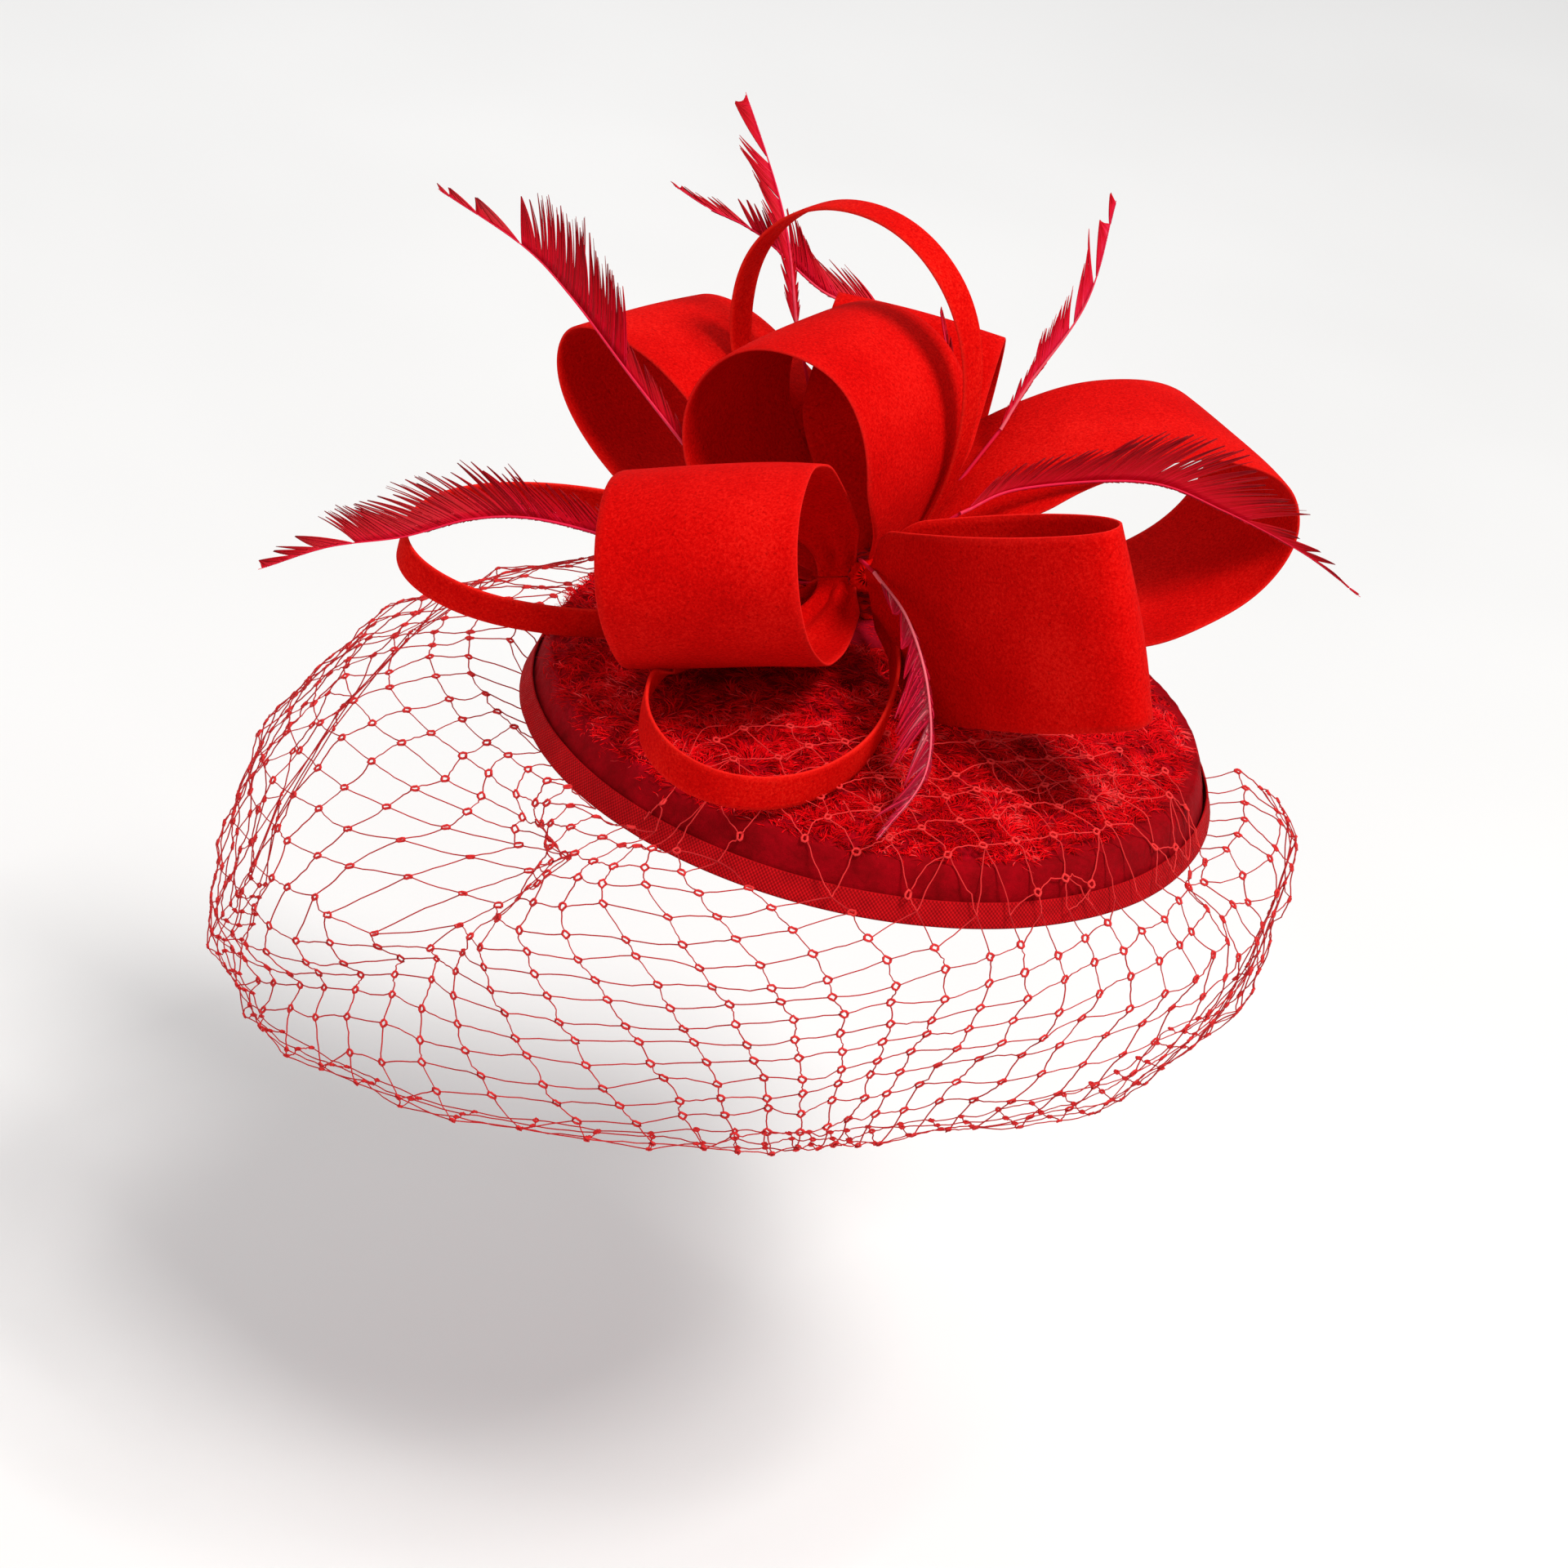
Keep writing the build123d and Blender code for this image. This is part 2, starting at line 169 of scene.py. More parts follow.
def spline(points, count):
    """Smooth curve through the points, spaced evenly."""
    p = np.asarray(points, float)
    p = np.vstack([2 * p[0] - p[1], p, 2 * p[-1] - p[-2]])
    out = []
    for i in range(1, len(p) - 2):
        t = np.linspace(0, 1, 24, endpoint=False)[:, None]
        a, b, c, d = p[i - 1], p[i], p[i + 1], p[i + 2]
        square, cube = 2 * a - 5 * b + 4 * c - d, 3 * b - a - 3 * c + d
        out.append(0.5 * (2 * b + (c - a) * t + square * t ** 2 + cube * t ** 3))
    out = np.vstack(out + [p[-2][None]])
    run = distance_run(out)
    return sample(np.linspace(0, run[-1], count), run, out)


# ---------------------------------------------------------------- materials
class Shade:
    """A node material built from a few procedural layers."""

    def __init__(self, name, rough=0.7, sheen=0.0, metallic=0.0, specular=0.3):
        self.mat = bpy.data.materials.new(name)
        self.mat.use_nodes = True
        self.nodes, self.links = self.mat.node_tree.nodes, self.mat.node_tree.links
        self.bsdf = self.nodes["Principled BSDF"]
        self.bsdf.inputs["Roughness"].default_value = rough
        self.bsdf.inputs["Metallic"].default_value = metallic
        self.bsdf.inputs["Specular IOR Level"].default_value = specular
        if sheen:
            self.bsdf.inputs["Sheen Weight"].default_value = sheen
            self.bsdf.inputs["Sheen Roughness"].default_value = 0.45
            self.bsdf.inputs["Sheen Tint"].default_value = (1.0, 0.1, 0.15, 1)

    def attribute(self, key, output="Fac"):
        """A value that the mesh carries."""
        node = self.nodes.new("ShaderNodeAttribute")
        node.attribute_name = key
        return node.outputs[output]

    def noise(self, scale, detail, rough, stretch=None):
        """Noise laid out in the piece's own coordinates, in metres."""
        node = self.nodes.new("ShaderNodeTexNoise")
        node.inputs["Scale"].default_value = scale
        node.inputs["Detail"].default_value = detail
        node.inputs["Roughness"].default_value = rough
        coords = self.nodes.new("ShaderNodeTexCoord").outputs["Object"]
        if stretch:
            mapping = self.nodes.new("ShaderNodeMapping")
            mapping.inputs["Scale"].default_value = stretch
            self.links.new(coords, mapping.inputs["Vector"])
            coords = mapping.outputs["Vector"]
        self.links.new(coords, node.inputs["Vector"])
        return node.outputs["Fac"]

    def ramp(self, value, stops):
        """Colour from a value, through stops of (position, colour)."""
        node = self.nodes.new("ShaderNodeValToRGB")
        ramp = node.color_ramp
        while len(ramp.elements) < len(stops):
            ramp.elements.new(0.5)
        for element, (at, colour) in zip(ramp.elements, stops):
            element.position = at
            element.color = (*colour, 1)
        self.links.new(value, node.inputs["Fac"])
        return node.outputs["Color"]

    def maths(self, kind, a, b):
        """One step of arithmetic on sockets or numbers."""
        node = self.nodes.new("ShaderNodeMath")
        node.operation = kind
        for socket, value in zip(node.inputs, (a, b)):
            if isinstance(value, (int, float)):
                socket.default_value = value
            else:
                self.links.new(value, socket)
        return node.outputs["Value"]

    def blend(self, a, b, share):
        """Weighted sum of two values: this share of a, the rest of b."""
        return self.maths("ADD", self.maths("MULTIPLY", a, share), self.maths("MULTIPLY", b, 1 - share))

    def mix(self, factor, a, b):
        """Colour a where the factor is 0 and colour b, a socket or three numbers, where it is 1."""
        node = self.nodes.new("ShaderNodeMix")
        node.data_type = "RGBA"
        socket_a, socket_b = (s for s in node.inputs if s.type == "RGBA")
        self.links.new(factor, node.inputs[0])
        self.links.new(a, socket_a)
        if isinstance(b, tuple):
            socket_b.default_value = (*b, 1)
        else:
            self.links.new(b, socket_b)
        return [s for s in node.outputs if s.type == "RGBA"][0]

    def colour(self, socket):
        self.links.new(socket, self.bsdf.inputs["Base Color"])
        return self

    def rough(self, socket):
        self.links.new(socket, self.bsdf.inputs["Roughness"])
        return self

    def bump(self, height, strength, distance):
        """Relief in metres, on top of any that is there already."""
        node = self.nodes.new("ShaderNodeBump")
        node.inputs["Strength"].default_value = strength
        node.inputs["Distance"].default_value = distance
        self.links.new(height, node.inputs["Height"])
        previous = self.bsdf.inputs["Normal"]
        if previous.is_linked:
            self.links.new(previous.links[0].from_socket, node.inputs["Normal"])
        self.links.new(node.outputs["Normal"], self.bsdf.inputs["Normal"])
        return self


def ribbon_material(name, deep, mid, light):
    """Suede-like ribbon: pebbled grain with small dark pits, and a painted highlight along the cut edges."""
    s = Shade(name, rough=0.95, specular=0.04)
    grain = s.noise(1000, 5, 0.8)
    pits = s.noise(900, 2, 0.5)
    soft = s.noise(30, 2, 0.5)
    body = s.ramp(s.blend(grain, soft, 0.75), [(0.36, deep), (0.5, mid), (0.66, light)])
    in_pit = s.ramp(pits, [(0.27, (0.55, 0.55, 0.55)), (0.4, (0, 0, 0))])
    pitted = s.mix(in_pit, body, tuple(c * 0.7 for c in deep))
    # painted highlight: the cut edges are painted lighter than the rest of the ribbon
    edge_highlight = s.maths("MULTIPLY", s.attribute("edge"), 0.5)
    s.colour(s.mix(edge_highlight, pitted, tuple(min(1, c * 1.15 + 0.012) for c in light)))
    return s.bump(grain, 0.55, 0.0005).bump(pits, 0.3, 0.0005).mat


RIBBON = ribbon_material("ribbon_suede", (0.46, 0.0, 0.0), (0.66, 0.0015, 0.001), (0.86, 0.012, 0.007))
NARROW = ribbon_material("ribbon_narrow", (0.50, 0.0, 0.0), (0.70, 0.002, 0.001), (0.88, 0.018, 0.008))


def plush_material():
    """Strands of the pile, dark at the root, which is painted shade, and pink at the tip, where the lighter
    tone is a painted highlight.
    """
    s = Shade("plush_pile", rough=0.6, sheen=0.03, specular=0.04)
    value = s.blend(s.attribute("tone"), s.noise(700, 2, 0.5), 0.85)
    s.colour(s.ramp(value, [(0.0, (0.28, 0.0, 0.001)), (0.4, (0.70, 0.0, 0.003)),
                            (0.75, (0.94, 0.003, 0.008)), (1.0, (1.0, 0.10, 0.10))]))
    return s.mat


def ground_material():
    """Backing of the plush: lumpy under the pile, velvety on the side band."""
    s = Shade("plush_ground", rough=0.85, sheen=0.08, specular=0.05)
    lumps, big, nap = s.noise(420, 5, 0.7), s.noise(70, 3, 0.6), s.noise(520, 4, 0.75)
    top = s.ramp(lumps, [(0.3, (0.16, 0.0, 0.002)), (0.7, (0.46, 0.0, 0.008))])
    side = s.ramp(s.blend(big, nap, 0.6),
                  [(0.3, (0.15, 0.0, 0.001)), (0.6, (0.34, 0.0, 0.004)), (0.8, (0.5, 0.0, 0.004))])
    s.colour(s.mix(s.attribute("side"), top, side))
    return s.bump(lumps, 0.5, 0.0008).mat


def woven_material(name, dark, bright, across, along, depth):
    """Fine ribbed weave laid out in the cloth's own directions."""
    s = Shade(name, rough=0.8, specular=0.08)
    split = s.nodes.new("ShaderNodeSeparateXYZ")
    s.links.new(s.attribute("cloth", "Vector"), split.inputs["Vector"])
    warp = s.maths("SINE", s.maths("MULTIPLY", split.outputs["X"], TAU / along), 0.0)
    weft = s.maths("SINE", s.maths("MULTIPLY", split.outputs["Y"], TAU / across), 0.0)
    dots = s.maths("ADD", s.maths("MULTIPLY", s.maths("MULTIPLY", warp, weft), 0.5), 0.5)
    middle = tuple((a + b) / 2 for a, b in zip(dark, bright))
    worn = s.blend(dots, s.noise(180, 3, 0.6), 0.6)
    s.colour(s.ramp(worn, [(0.25, dark), (0.6, middle), (0.85, bright)]))
    return s.bump(dots, depth, 0.0004).mat


def thread_material(name, dark, bright):
    """Spun thread, its tone set strand by strand."""
    s = Shade(name, rough=0.6, specular=0.15)
    value = s.blend(s.attribute("tone"), s.noise(900, 3, 0.6), 0.7)
    s.colour(s.ramp(value, [(0.1, dark), (0.9, bright)]))
    return s.mat


def felt_material(name, dark, bright):
    """Matted felt: fine fuzz over soft clouds of tone."""
    s = Shade(name, rough=0.95, specular=0.03)
    fuzz, cloud = s.noise(1100, 5, 0.8), s.noise(120, 3, 0.6)
    s.colour(s.ramp(s.blend(fuzz, cloud, 0.6), [(0.35, dark), (0.65, bright)]))
    return s.bump(fuzz, 0.5, 0.0004).mat


def metal_material(name, colour, rough):
    """Metal with fine scratches along its x axis."""
    s = Shade(name, rough=rough, metallic=1.0, specular=0.5)
    scratch = s.noise(300, 4, 0.6, stretch=(1, 12, 12))
    s.colour(s.ramp(scratch, [(0.3, tuple(c * 0.8 for c in colour)), (0.7, colour)]))
    s.rough(s.maths("ADD", s.maths("MULTIPLY", scratch, 0.2), rough - 0.1))
    return s.bump(scratch, 0.1, 0.0001).mat


# ---------------------------------------------------------------- shared shape of the base
EDGE_R, WALL_SLOPE, SHOULDER_Z, CROWN_TOP = 116.6, 0.31, 17.6, 24.4
KNOT = np.array([-12.0, 42.0, 39.0])
STACK = np.array([0.0, -0.883, 0.469])
PATCH_FOOT = np.array([KNOT[0], KNOT[1], 23.383])          # centre of the felt patch under the knot
PATCH_UP = unit(np.array([KNOT[0], KNOT[1], 911.71]))
DOME_RISE = CROWN_TOP - SHOULDER_Z
BIG_R = ((EDGE_R - WALL_SLOPE * SHOULDER_Z) ** 2 + DOME_RISE ** 2) / (2 * DOME_RISE)
LOWEST_CLOTH = 1.8                                         # neither cover nor lining goes below this


def crown_height(r):
    """Height of the cover above a circle of radius r."""
    r = np.asarray(r, float)
    dome = CROWN_TOP - r * r / (2 * BIG_R)
    wall = (EDGE_R - r) / WALL_SLOPE
    blend = 1.6
    h = np.clip(0.5 + 0.5 * (wall - dome) / (4 * blend), 0, 1)
    return wall * (1 - h) + dome * h - 4 * blend * h * (1 - h) * 0.5


def dome_point(r, angle, lift=0.0):
    """Point on the cover at radius r, moved out along its normal by lift."""
    r, angle, lift = np.broadcast_arrays(*(np.asarray(v, float) for v in (r, angle, lift)))
    slope = (crown_height(r + 0.3) - crown_height(r - 0.3)) / 0.6
    size = np.sqrt(1 + slope ** 2)
    rr = r - slope / size * lift
    return polar(rr, angle, crown_height(r) + lift / size)


def fur_edge(angle):
    """Radius where the long pile ends and the smooth side begins."""
    shift = 2.6 * np.cos(angle + 2.6) - 3.6 * np.cos(angle + 0.9)
    ripple = 0.9 * np.sin(5 * angle + 1) + 0.6 * np.sin(11 * angle)
    return 108.8 + shift + ripple


LUMPS = waves(5, 26, 16, 60)
SMALL = waves(6, 30, 5, 14)


def crown_lift(points, r, angle):
    """Soft unevenness of the plush."""
    inside = ease((fur_edge(angle) - r) / 7)
    return inside * (1.5 + 0.8 * LUMPS(points) + 0.6 * SMALL(points))


# ---------------------------------------------------------------- plush cover: backing cloth and pile
STRANDS, PILE_R = 52000, 113.0
STRAND_LENGTH, STRAND_HALF_WIDTH = (3.2, 6.2), (0.12, 0.22)


def crown_ground():
    """Backing cloth of the plush, down over the side band."""
    rings = np.concatenate([np.linspace(0.5, 100, 90), np.linspace(100.6, 114.6, 36),
                            [115.2, 115.6, 115.9, 116.0]])
    r, a = np.meshgrid(rings, round_angles(360), indexing="ij")
    base = dome_point(r, a)
    lift = crown_lift(base, r, a) * 0.8 + 0.12 * SMALL(base * 1.7)
    lift = np.where(r > 110, np.minimum(lift, 0.2), lift)
    verts = dome_point(r, a, lift - 0.6).reshape(-1, 3)
    verts[:, 2] = np.maximum(verts[:, 2], LOWEST_CLOTH)
    side = ease((r - fur_edge(a) + 2) / 4).ravel()
    obj = make_mesh("crown_cloth", verts, grid_quads(len(rings), 360, closed=True), side=side)
    obj.data.materials.append(ground_material())
    return obj


def crown_pile():
    """Long nap combed into swirls: each strand is a narrow three-part blade."""
    r = PILE_R * np.sqrt(rng.uniform(0, 1, STRANDS))
    a = rng.uniform(0, TAU, STRANDS)
    keep = r < fur_edge(a) + rng.normal(0, 1.3, STRANDS)
    r, a = r[keep], a[keep]
    n = len(r)
    flat = dome_point(r, a)
    lift = crown_lift(flat, r, a) * 0.8 - 0.5
    root = dome_point(r, a, lift)
    # combing direction: a slow swirl plus tufts
    swirl, turn = waves(21, 14, 30, 90), waves(22, 30, 7, 15)
    heading = a + 0.9 + 1.5 * swirl(flat) + 1.9 * turn(flat) + rng.normal(0, 0.4, n)
    lean = np.clip(0.36 + 0.22 * waves(23, 20, 6, 16)(flat) + rng.normal(0, 0.1, n), 0.06, 0.9)
    normal = unit(np.stack([root[:, 0] / BIG_R, root[:, 1] / BIG_R, np.ones(n)], -1))
    way = polar(1.0, heading)
    way = unit(way - normal * (way * normal).sum(-1, keepdims=True))
    length = rng.uniform(*STRAND_LENGTH, n) * (1 - 0.35 * ease((r - 100) / 8))
    curl = np.cross(normal, way) * (rng.normal(0, 0.4, n) + 0.45 * turn(flat))[:, None]
    parts = []
    for t in (0.0, 0.4, 0.75, 1.0):
        rise = np.sin(lean * (1.25 - 0.75 * t))
        parts.append(root + length[:, None] * t * (way + curl * t + normal * rise[:, None]))
    wide = rng.uniform(*STRAND_HALF_WIDTH, n)[:, None]
    across = unit(np.cross(way, normal) + normal * rng.normal(0, 0.5, n)[:, None])
    sides = [part + side * across * wide * share
             for part, share in zip(parts, (1.0, 0.9, 0.55)) for side in (-1, 1)]
    verts = np.stack(sides + [parts[3]], 1)
    base = (np.arange(n) * 7)[:, None]
    quads = np.concatenate([base + [0, 1, 3, 2], base + [2, 3, 5, 4]])
    tris = base + [4, 5, 6]
    shade = 0.46 + 0.2 * waves(24, 16, 12, 40)(flat) + 0.16 * waves(25, 24, 4, 9)(flat)
    shade += rng.normal(0, 0.14, n)
    shade += 0.25 * (rng.uniform(0, 1, n) > 0.93)
    # painted shade and highlight: each strand is darker at its root, deep in the pile, and lighter towards
    # its tip
    tone = np.clip(shade[:, None] + np.array([-0.3, -0.3, 0, 0, 0.12, 0.12, 0.25]), 0, 1)
    obj = make_mesh("crown_pile", verts.reshape(-1, 3), quads, tris, tone=tone.ravel())
    obj.data.materials.append(plush_material())
    return obj


ground, pile = crown_ground(), crown_pile()
for piece in (ground, pile):
    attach(piece, "root")
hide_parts("crown_cover")


# ---------------------------------------------------------------- bound edge and lining
BINDING_R = 117.0


def binding_section():
    """Folded ribbon in section: soft fold at the edge, its top drawn in against the side of the cover."""
    outer = [(118.0 - 4.1 * t, -0.7 + 12.0 * t) for t in np.linspace(0.04, 0.61, 12)]
    lip = [(115.4, 7.0), (115.25, 7.4), (115.0, 7.6), (114.72, 7.45), (114.62, 7.1)]
    inner = [(116.8 - 3.55 * t, 0.3 + 11.2 * t) for t in np.linspace(0.58, 0.02, 8)]
    floor = [(r, 0.25) for r in np.linspace(116, 112.4, 6)]
    up = [(111.7 - 2.4 * t, 0.5 + 7.4 * t) for t in np.linspace(0, 1, 7)]
    down = [(108.3 + 2.3 * t, 7.9 - 7.9 * t) for t in np.linspace(0, 1, 7)]
    under = [(r, -0.85) for r in np.linspace(111.3, 117.2, 8)] + [(117.75, -0.62)]
    return outer + lip + inner + floor + up + down + under


def brim_binding():
    """The folded section carried round the edge, a little uneven."""
    section = np.array(binding_section())
    r, z = section.T
    turns, m = 480, len(section)
    a = np.repeat(round_angles(turns)[:, None], m, axis=1)
    flat = polar(r, a, z)
    push = 0.35 * waves(31, 16, 18, 60)(flat) + 0.1 * waves(32, 20, 4, 9)(flat)
    verts = polar(r + push * 0.5, a, z + push * 0.25)
    cloth = np.stack(np.broadcast_arrays(a * BINDING_R, distance_run(section), 0.0), -1)
    # the last row of faces joins the first row of vertices
    quads = grid_quads(turns + 1, m, closed=True, flip=True) % (turns * m)
    obj = make_mesh("brim_binding_ribbon", verts.reshape(-1, 3), quads, cloth=cloth.reshape(-1, 3))
    obj.data.materials.append(
        woven_material("binding_weave", (0.26, 0.0, 0.002), (0.74, 0.004, 0.008), 1.5, 1.3, 0.7))
    return obj


binding = brim_binding()
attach(binding, "root")
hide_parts("brim_binding")


def inner_lining():
    """Two skins of thin cloth joined at hub and rim; the one that shows is gathered towards its edge."""
    turns = 288
    rings = np.concatenate([np.linspace(0.5, 104, 60), np.linspace(105, 111.0, 12)])
    r, a = np.meshgrid(rings, round_angles(turns), indexing="ij")
    pleat = 0.45 * ease((r - 70) / 40) * np.sin(72 * a + 2 * np.sin(5 * a))
    pucker = 0.18 * waves(41, 24, 10, 40)(polar(r, a))
    skins = []
    for inset, uneven in ((4.75, pleat + pucker), (4.1, 0.0)):
        radius = r * (1 - inset * 0.35 / 116)
        top = crown_height(radius + inset * 0.3) - inset
        z = np.maximum(top - uneven * (1 - ease((r - 108) / 3)), LOWEST_CLOTH)
        skins.append(polar(radius, a, z).reshape(-1, 3))
    n = len(rings) * turns
    quads = grid_quads(len(rings), turns, closed=True)
    hub, rim = np.arange(turns), n - turns + np.arange(turns)
    next_hub, next_rim = np.roll(hub, -1), np.roll(rim, -1)
    joins = [np.stack([rim, next_rim, next_rim + n, rim + n], -1),
             np.stack([hub, hub + n, next_hub + n, next_hub], -1)]
    cloth = np.tile(polar(r, a).reshape(-1, 3), (2, 1))
    quads = np.concatenate([quads, quads[:, ::-1] + n] + joins)
    obj = make_mesh("lining_cloth", np.concatenate(skins), quads, cloth=cloth)
    obj.data.materials.append(
        woven_material("lining_weave", (0.24, 0.0, 0.006), (0.42, 0.01, 0.02), 1.0, 1.0, 0.3))
    return obj


lining = inner_lining()
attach(lining, "root")
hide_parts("lining")


# ---------------------------------------------------------------- ribbons
def ribbon_frame(azimuth, elevation, roll):
    """Directions of a loop: out from the knot, across the ribbon, and up in its side view."""
    a, e, r = (math.radians(v) for v in (azimuth, elevation, roll))
    out = np.array([math.cos(a) * math.cos(e), math.sin(a) * math.cos(e), math.sin(e)])
    level = np.array([-math.sin(a), math.cos(a), 0.0])
    up = np.cross(out, level)
    return out, level * math.cos(r) + up * math.sin(r), up * math.cos(r) - level * math.sin(r)


RIBBONS = {
    "loop_front_left": dict(azimuth=-103, elevation=25, roll=19, reach=113, rise=38, drop=36,
                            width=65, fullness=0.22, stack=22, shift=-33, taper=0.5),
    "loop_front_right": dict(azimuth=-41, elevation=25.5, roll=94, reach=114, rise=16, drop=26,
                             width=64, fullness=0.42, stack=31, shift=-16, taper=0.19, tip=0.5, forward=8),
    "loop_right": dict(azimuth=29.5, elevation=14, roll=-2.5, reach=148, rise=45, drop=39,
                       width=66, fullness=0.32, stack=-6, shift=-2, taper=0.38),
    "loop_centre": dict(azimuth=154, elevation=64, roll=-1.5, reach=90, rise=45, drop=44,
                        width=64, fullness=0.33, stack=2, shift=5, taper=0.46),
    "loop_left": dict(azimuth=144, elevation=18.5, roll=0, reach=133, rise=28, drop=32,
                      width=62, fullness=0.4, stack=-9, taper=0.42),
    "loop_back": dict(azimuth=83, elevation=55, roll=2.5, reach=94, rise=17.5, drop=40,
                      width=59, fullness=0.23, stack=-7, shift=7, taper=0.57),
    "ring_top": dict(azimuth=152.5, elevation=66, roll=-7, reach=127, rise=59, drop=58,
                     width=11, fullness=0.23, stack=-6, shift=-14, taper=0.8),
    "ring_left": dict(azimuth=200, elevation=0.5, roll=73, reach=162, rise=38, drop=39,
                      width=12, fullness=0.5, stack=-6),
    "ring_front": dict(azimuth=-104, elevation=-4.5, roll=88, reach=151, rise=45, drop=45,
                       width=12, fullness=0.35, stack=4),
}


def loop_outline(t, reach, rise, drop, fullness):
    """Side view of a loop at angles t, 0 to a full turn: distance out, height, and share of the reach."""
    share = (1 - np.cos(t)) / 2
    return reach * share, np.where(t < math.pi, rise, drop) * np.sin(t) * share ** fullness, share


def ribbon_surface(azimuth, elevation, roll, reach, rise, drop, width, fullness,
                   seed, cols, pleats, crush, stack=0.0, shift=0.0, taper=0.35, tip=0.3, forward=0.0):
    """Middle surface of one loop: rows along the ribbon, cols across it."""
    out, across, up = ribbon_frame(azimuth, elevation, roll)
    t = np.linspace(0.012, 0.988, 181) * TAU
    # more rows near the knot, where the pleats are
    t = t - 0.16 * crush * np.sin(2 * t)
    p, q, s = loop_outline(t, reach, rise, drop, fullness)
    grow = tip + (1 - tip) * ease(s / taper)
    narrow = 1 - 0.35 * (1 - ease(s / 0.12))
    v = np.linspace(-1, 1, cols)
    depth = stack + forward * ease(s / 0.15)
    centre = KNOT + depth[:, None] * STACK + p[:, None] * out + q[:, None] * up
    centre = centre + (shift * grow)[:, None] * across
    surface = centre[:, None] + (width / 2 * grow * narrow)[:, None, None] * v[None, :, None] * across
    # outward direction of the loop in its side view
    dp, dq = np.gradient(p), np.gradient(q)
    size = np.hypot(dp, dq) + 1e-9
    normal = (-dq / size)[:, None] * out + (dp / size)[:, None] * up
    amount = (1 - ease(s / 0.3)) * ease(s / 0.03) * min(1.5, width * 0.04) * crush
    phase = np.where(t < math.pi, 0.4 + seed, 2.1 + seed)
    fold = amount[:, None] * np.cos(math.pi * pleats * v[None, :] + phase[:, None])
    cup = -0.9 * (v ** 2 - 0.33)[None, :] * ease(s / 0.5)[:, None] * (width / 65)
    ripple = 0.55 * waves(100 + seed, 10, 28, 90)(surface) * ease(s / 0.4)[:, None] * min(1, width / 30)
    return surface + (fold + cup + ripple)[..., None] * normal[:, None]


def thicken(surface, thickness):
    """Closed band round a middle surface, with slightly rounded edges."""
    du = np.gradient(surface, axis=0)
    dv = np.gradient(surface, axis=1)
    normal = unit(np.cross(du, dv))
    h = thickness / 2
    over, under = surface + normal * h, surface - normal * h
    edge = unit(dv)
    a = surface[:, -1] + edge[:, -1] * h * 0.7
    b = surface[:, 0] - edge[:, 0] * h * 0.7
    ring = np.concatenate([over, a[:, None], under[:, ::-1], b[:, None]], 1)
    rows, m = ring.shape[:2]
    ends = []
    for row in (0, rows - 1):
        k = row * m
        for j in range(m // 2 - 1):
            quad = (k + j, k + j + 1, k + m - 3 - j, k + m - 2 - j)
            ends.append(quad if row else quad[::-1])
    return ring.reshape(-1, 3), np.concatenate([grid_quads(rows, m, closed=True), ends])


def push_out(surface, other):
    """Moves the parts of one ribbon that dip inside the other loop back out of it."""
    gap, deepest, clear_of_knot = 1.5, 9.0, 24.0
    out, across, up = ribbon_frame(other["azimuth"], other["elevation"], other["roll"])
    root = KNOT + STACK * other.get("stack", 0)
    t = np.linspace(0.02, 0.98, 360) * TAU
    line = np.stack(loop_outline(t, other["reach"], other["rise"], other["drop"], other["fullness"])[:2], -1)
    tangent = unit(np.gradient(line, axis=0))
    outward = np.stack([-tangent[:, 1], tangent[:, 0]], -1)
    flat = surface.reshape(-1, 3) - root
    local = np.stack([flat @ out, flat @ up], -1)
    to_line = local[:, None] - line[None]
    nearest = np.argmin((to_line ** 2).sum(-1), axis=1)
    depth = -(to_line[np.arange(len(flat)), nearest] * outward[nearest]).sum(-1)
    grow = 0.3 + 0.7 * ease(local[:, 0] / other["reach"] / other["taper"])
    inside = np.abs(flat @ across - other.get("shift", 0) * grow) < other["width"] / 2 * grow + 2
    far = np.linalg.norm(surface.reshape(-1, 3) - KNOT, axis=1) > clear_of_knot
    push = np.where(inside & far & (depth > -gap) & (depth < deepest), depth + gap, 0)
    move = push[:, None] * (outward[nearest, :1] * out + outward[nearest, 1:] * up)
    move = move.reshape(surface.shape)
    for _ in range(6):
        soft = move.copy()
        soft[1:-1] = (move[:-2] + 2 * move[1:-1] + move[2:]) / 4
        soft[:, 1:-1] = (soft[:, :-2] + 2 * soft[:, 1:-1] + soft[:, 2:]) / 4
        move = np.where(np.abs(soft) > np.abs(move), soft, move)
    return surface + move


LEANS_ON = {"loop_left": "loop_centre", "ring_top": "loop_left", "ring_front": "loop_front_left"}
WIDE_SHAPE = dict(cols=27, pleats=2.2, crush=1.0)
NARROW_SHAPE = dict(cols=9, pleats=1.0, crush=0.3)
WIDE_THICK, NARROW_THICK = 1.1, 1.3
CLEAR_OF_PLUSH = 2.2                    # height of a ribbon's middle above the cover, at the least


def above_plush(surface):
    """The surface with every part of it that lies over the cover lifted clear of the plush."""
    r = np.hypot(surface[..., 0], surface[..., 1])
    floor = crown_height(np.minimum(r, PILE_R)) + CLEAR_OF_PLUSH
    surface[..., 2] = np.where(r < EDGE_R - 0.6, np.maximum(surface[..., 2], floor), surface[..., 2])
    return surface


def edge_highlight_share(cols, width):
    """Strength of the painted edge highlight for the vertices round a ribbon's section: 1 on its two rims, a
    little beside them, 0 elsewhere.
    """
    v = np.abs(np.linspace(-1, 1, cols))
    near_edge = 0.25 * ease((v - (1 - 1.4 / width)) / (0.8 / width))
    return np.concatenate([near_edge, [1.0], near_edge[::-1], [1.0]])


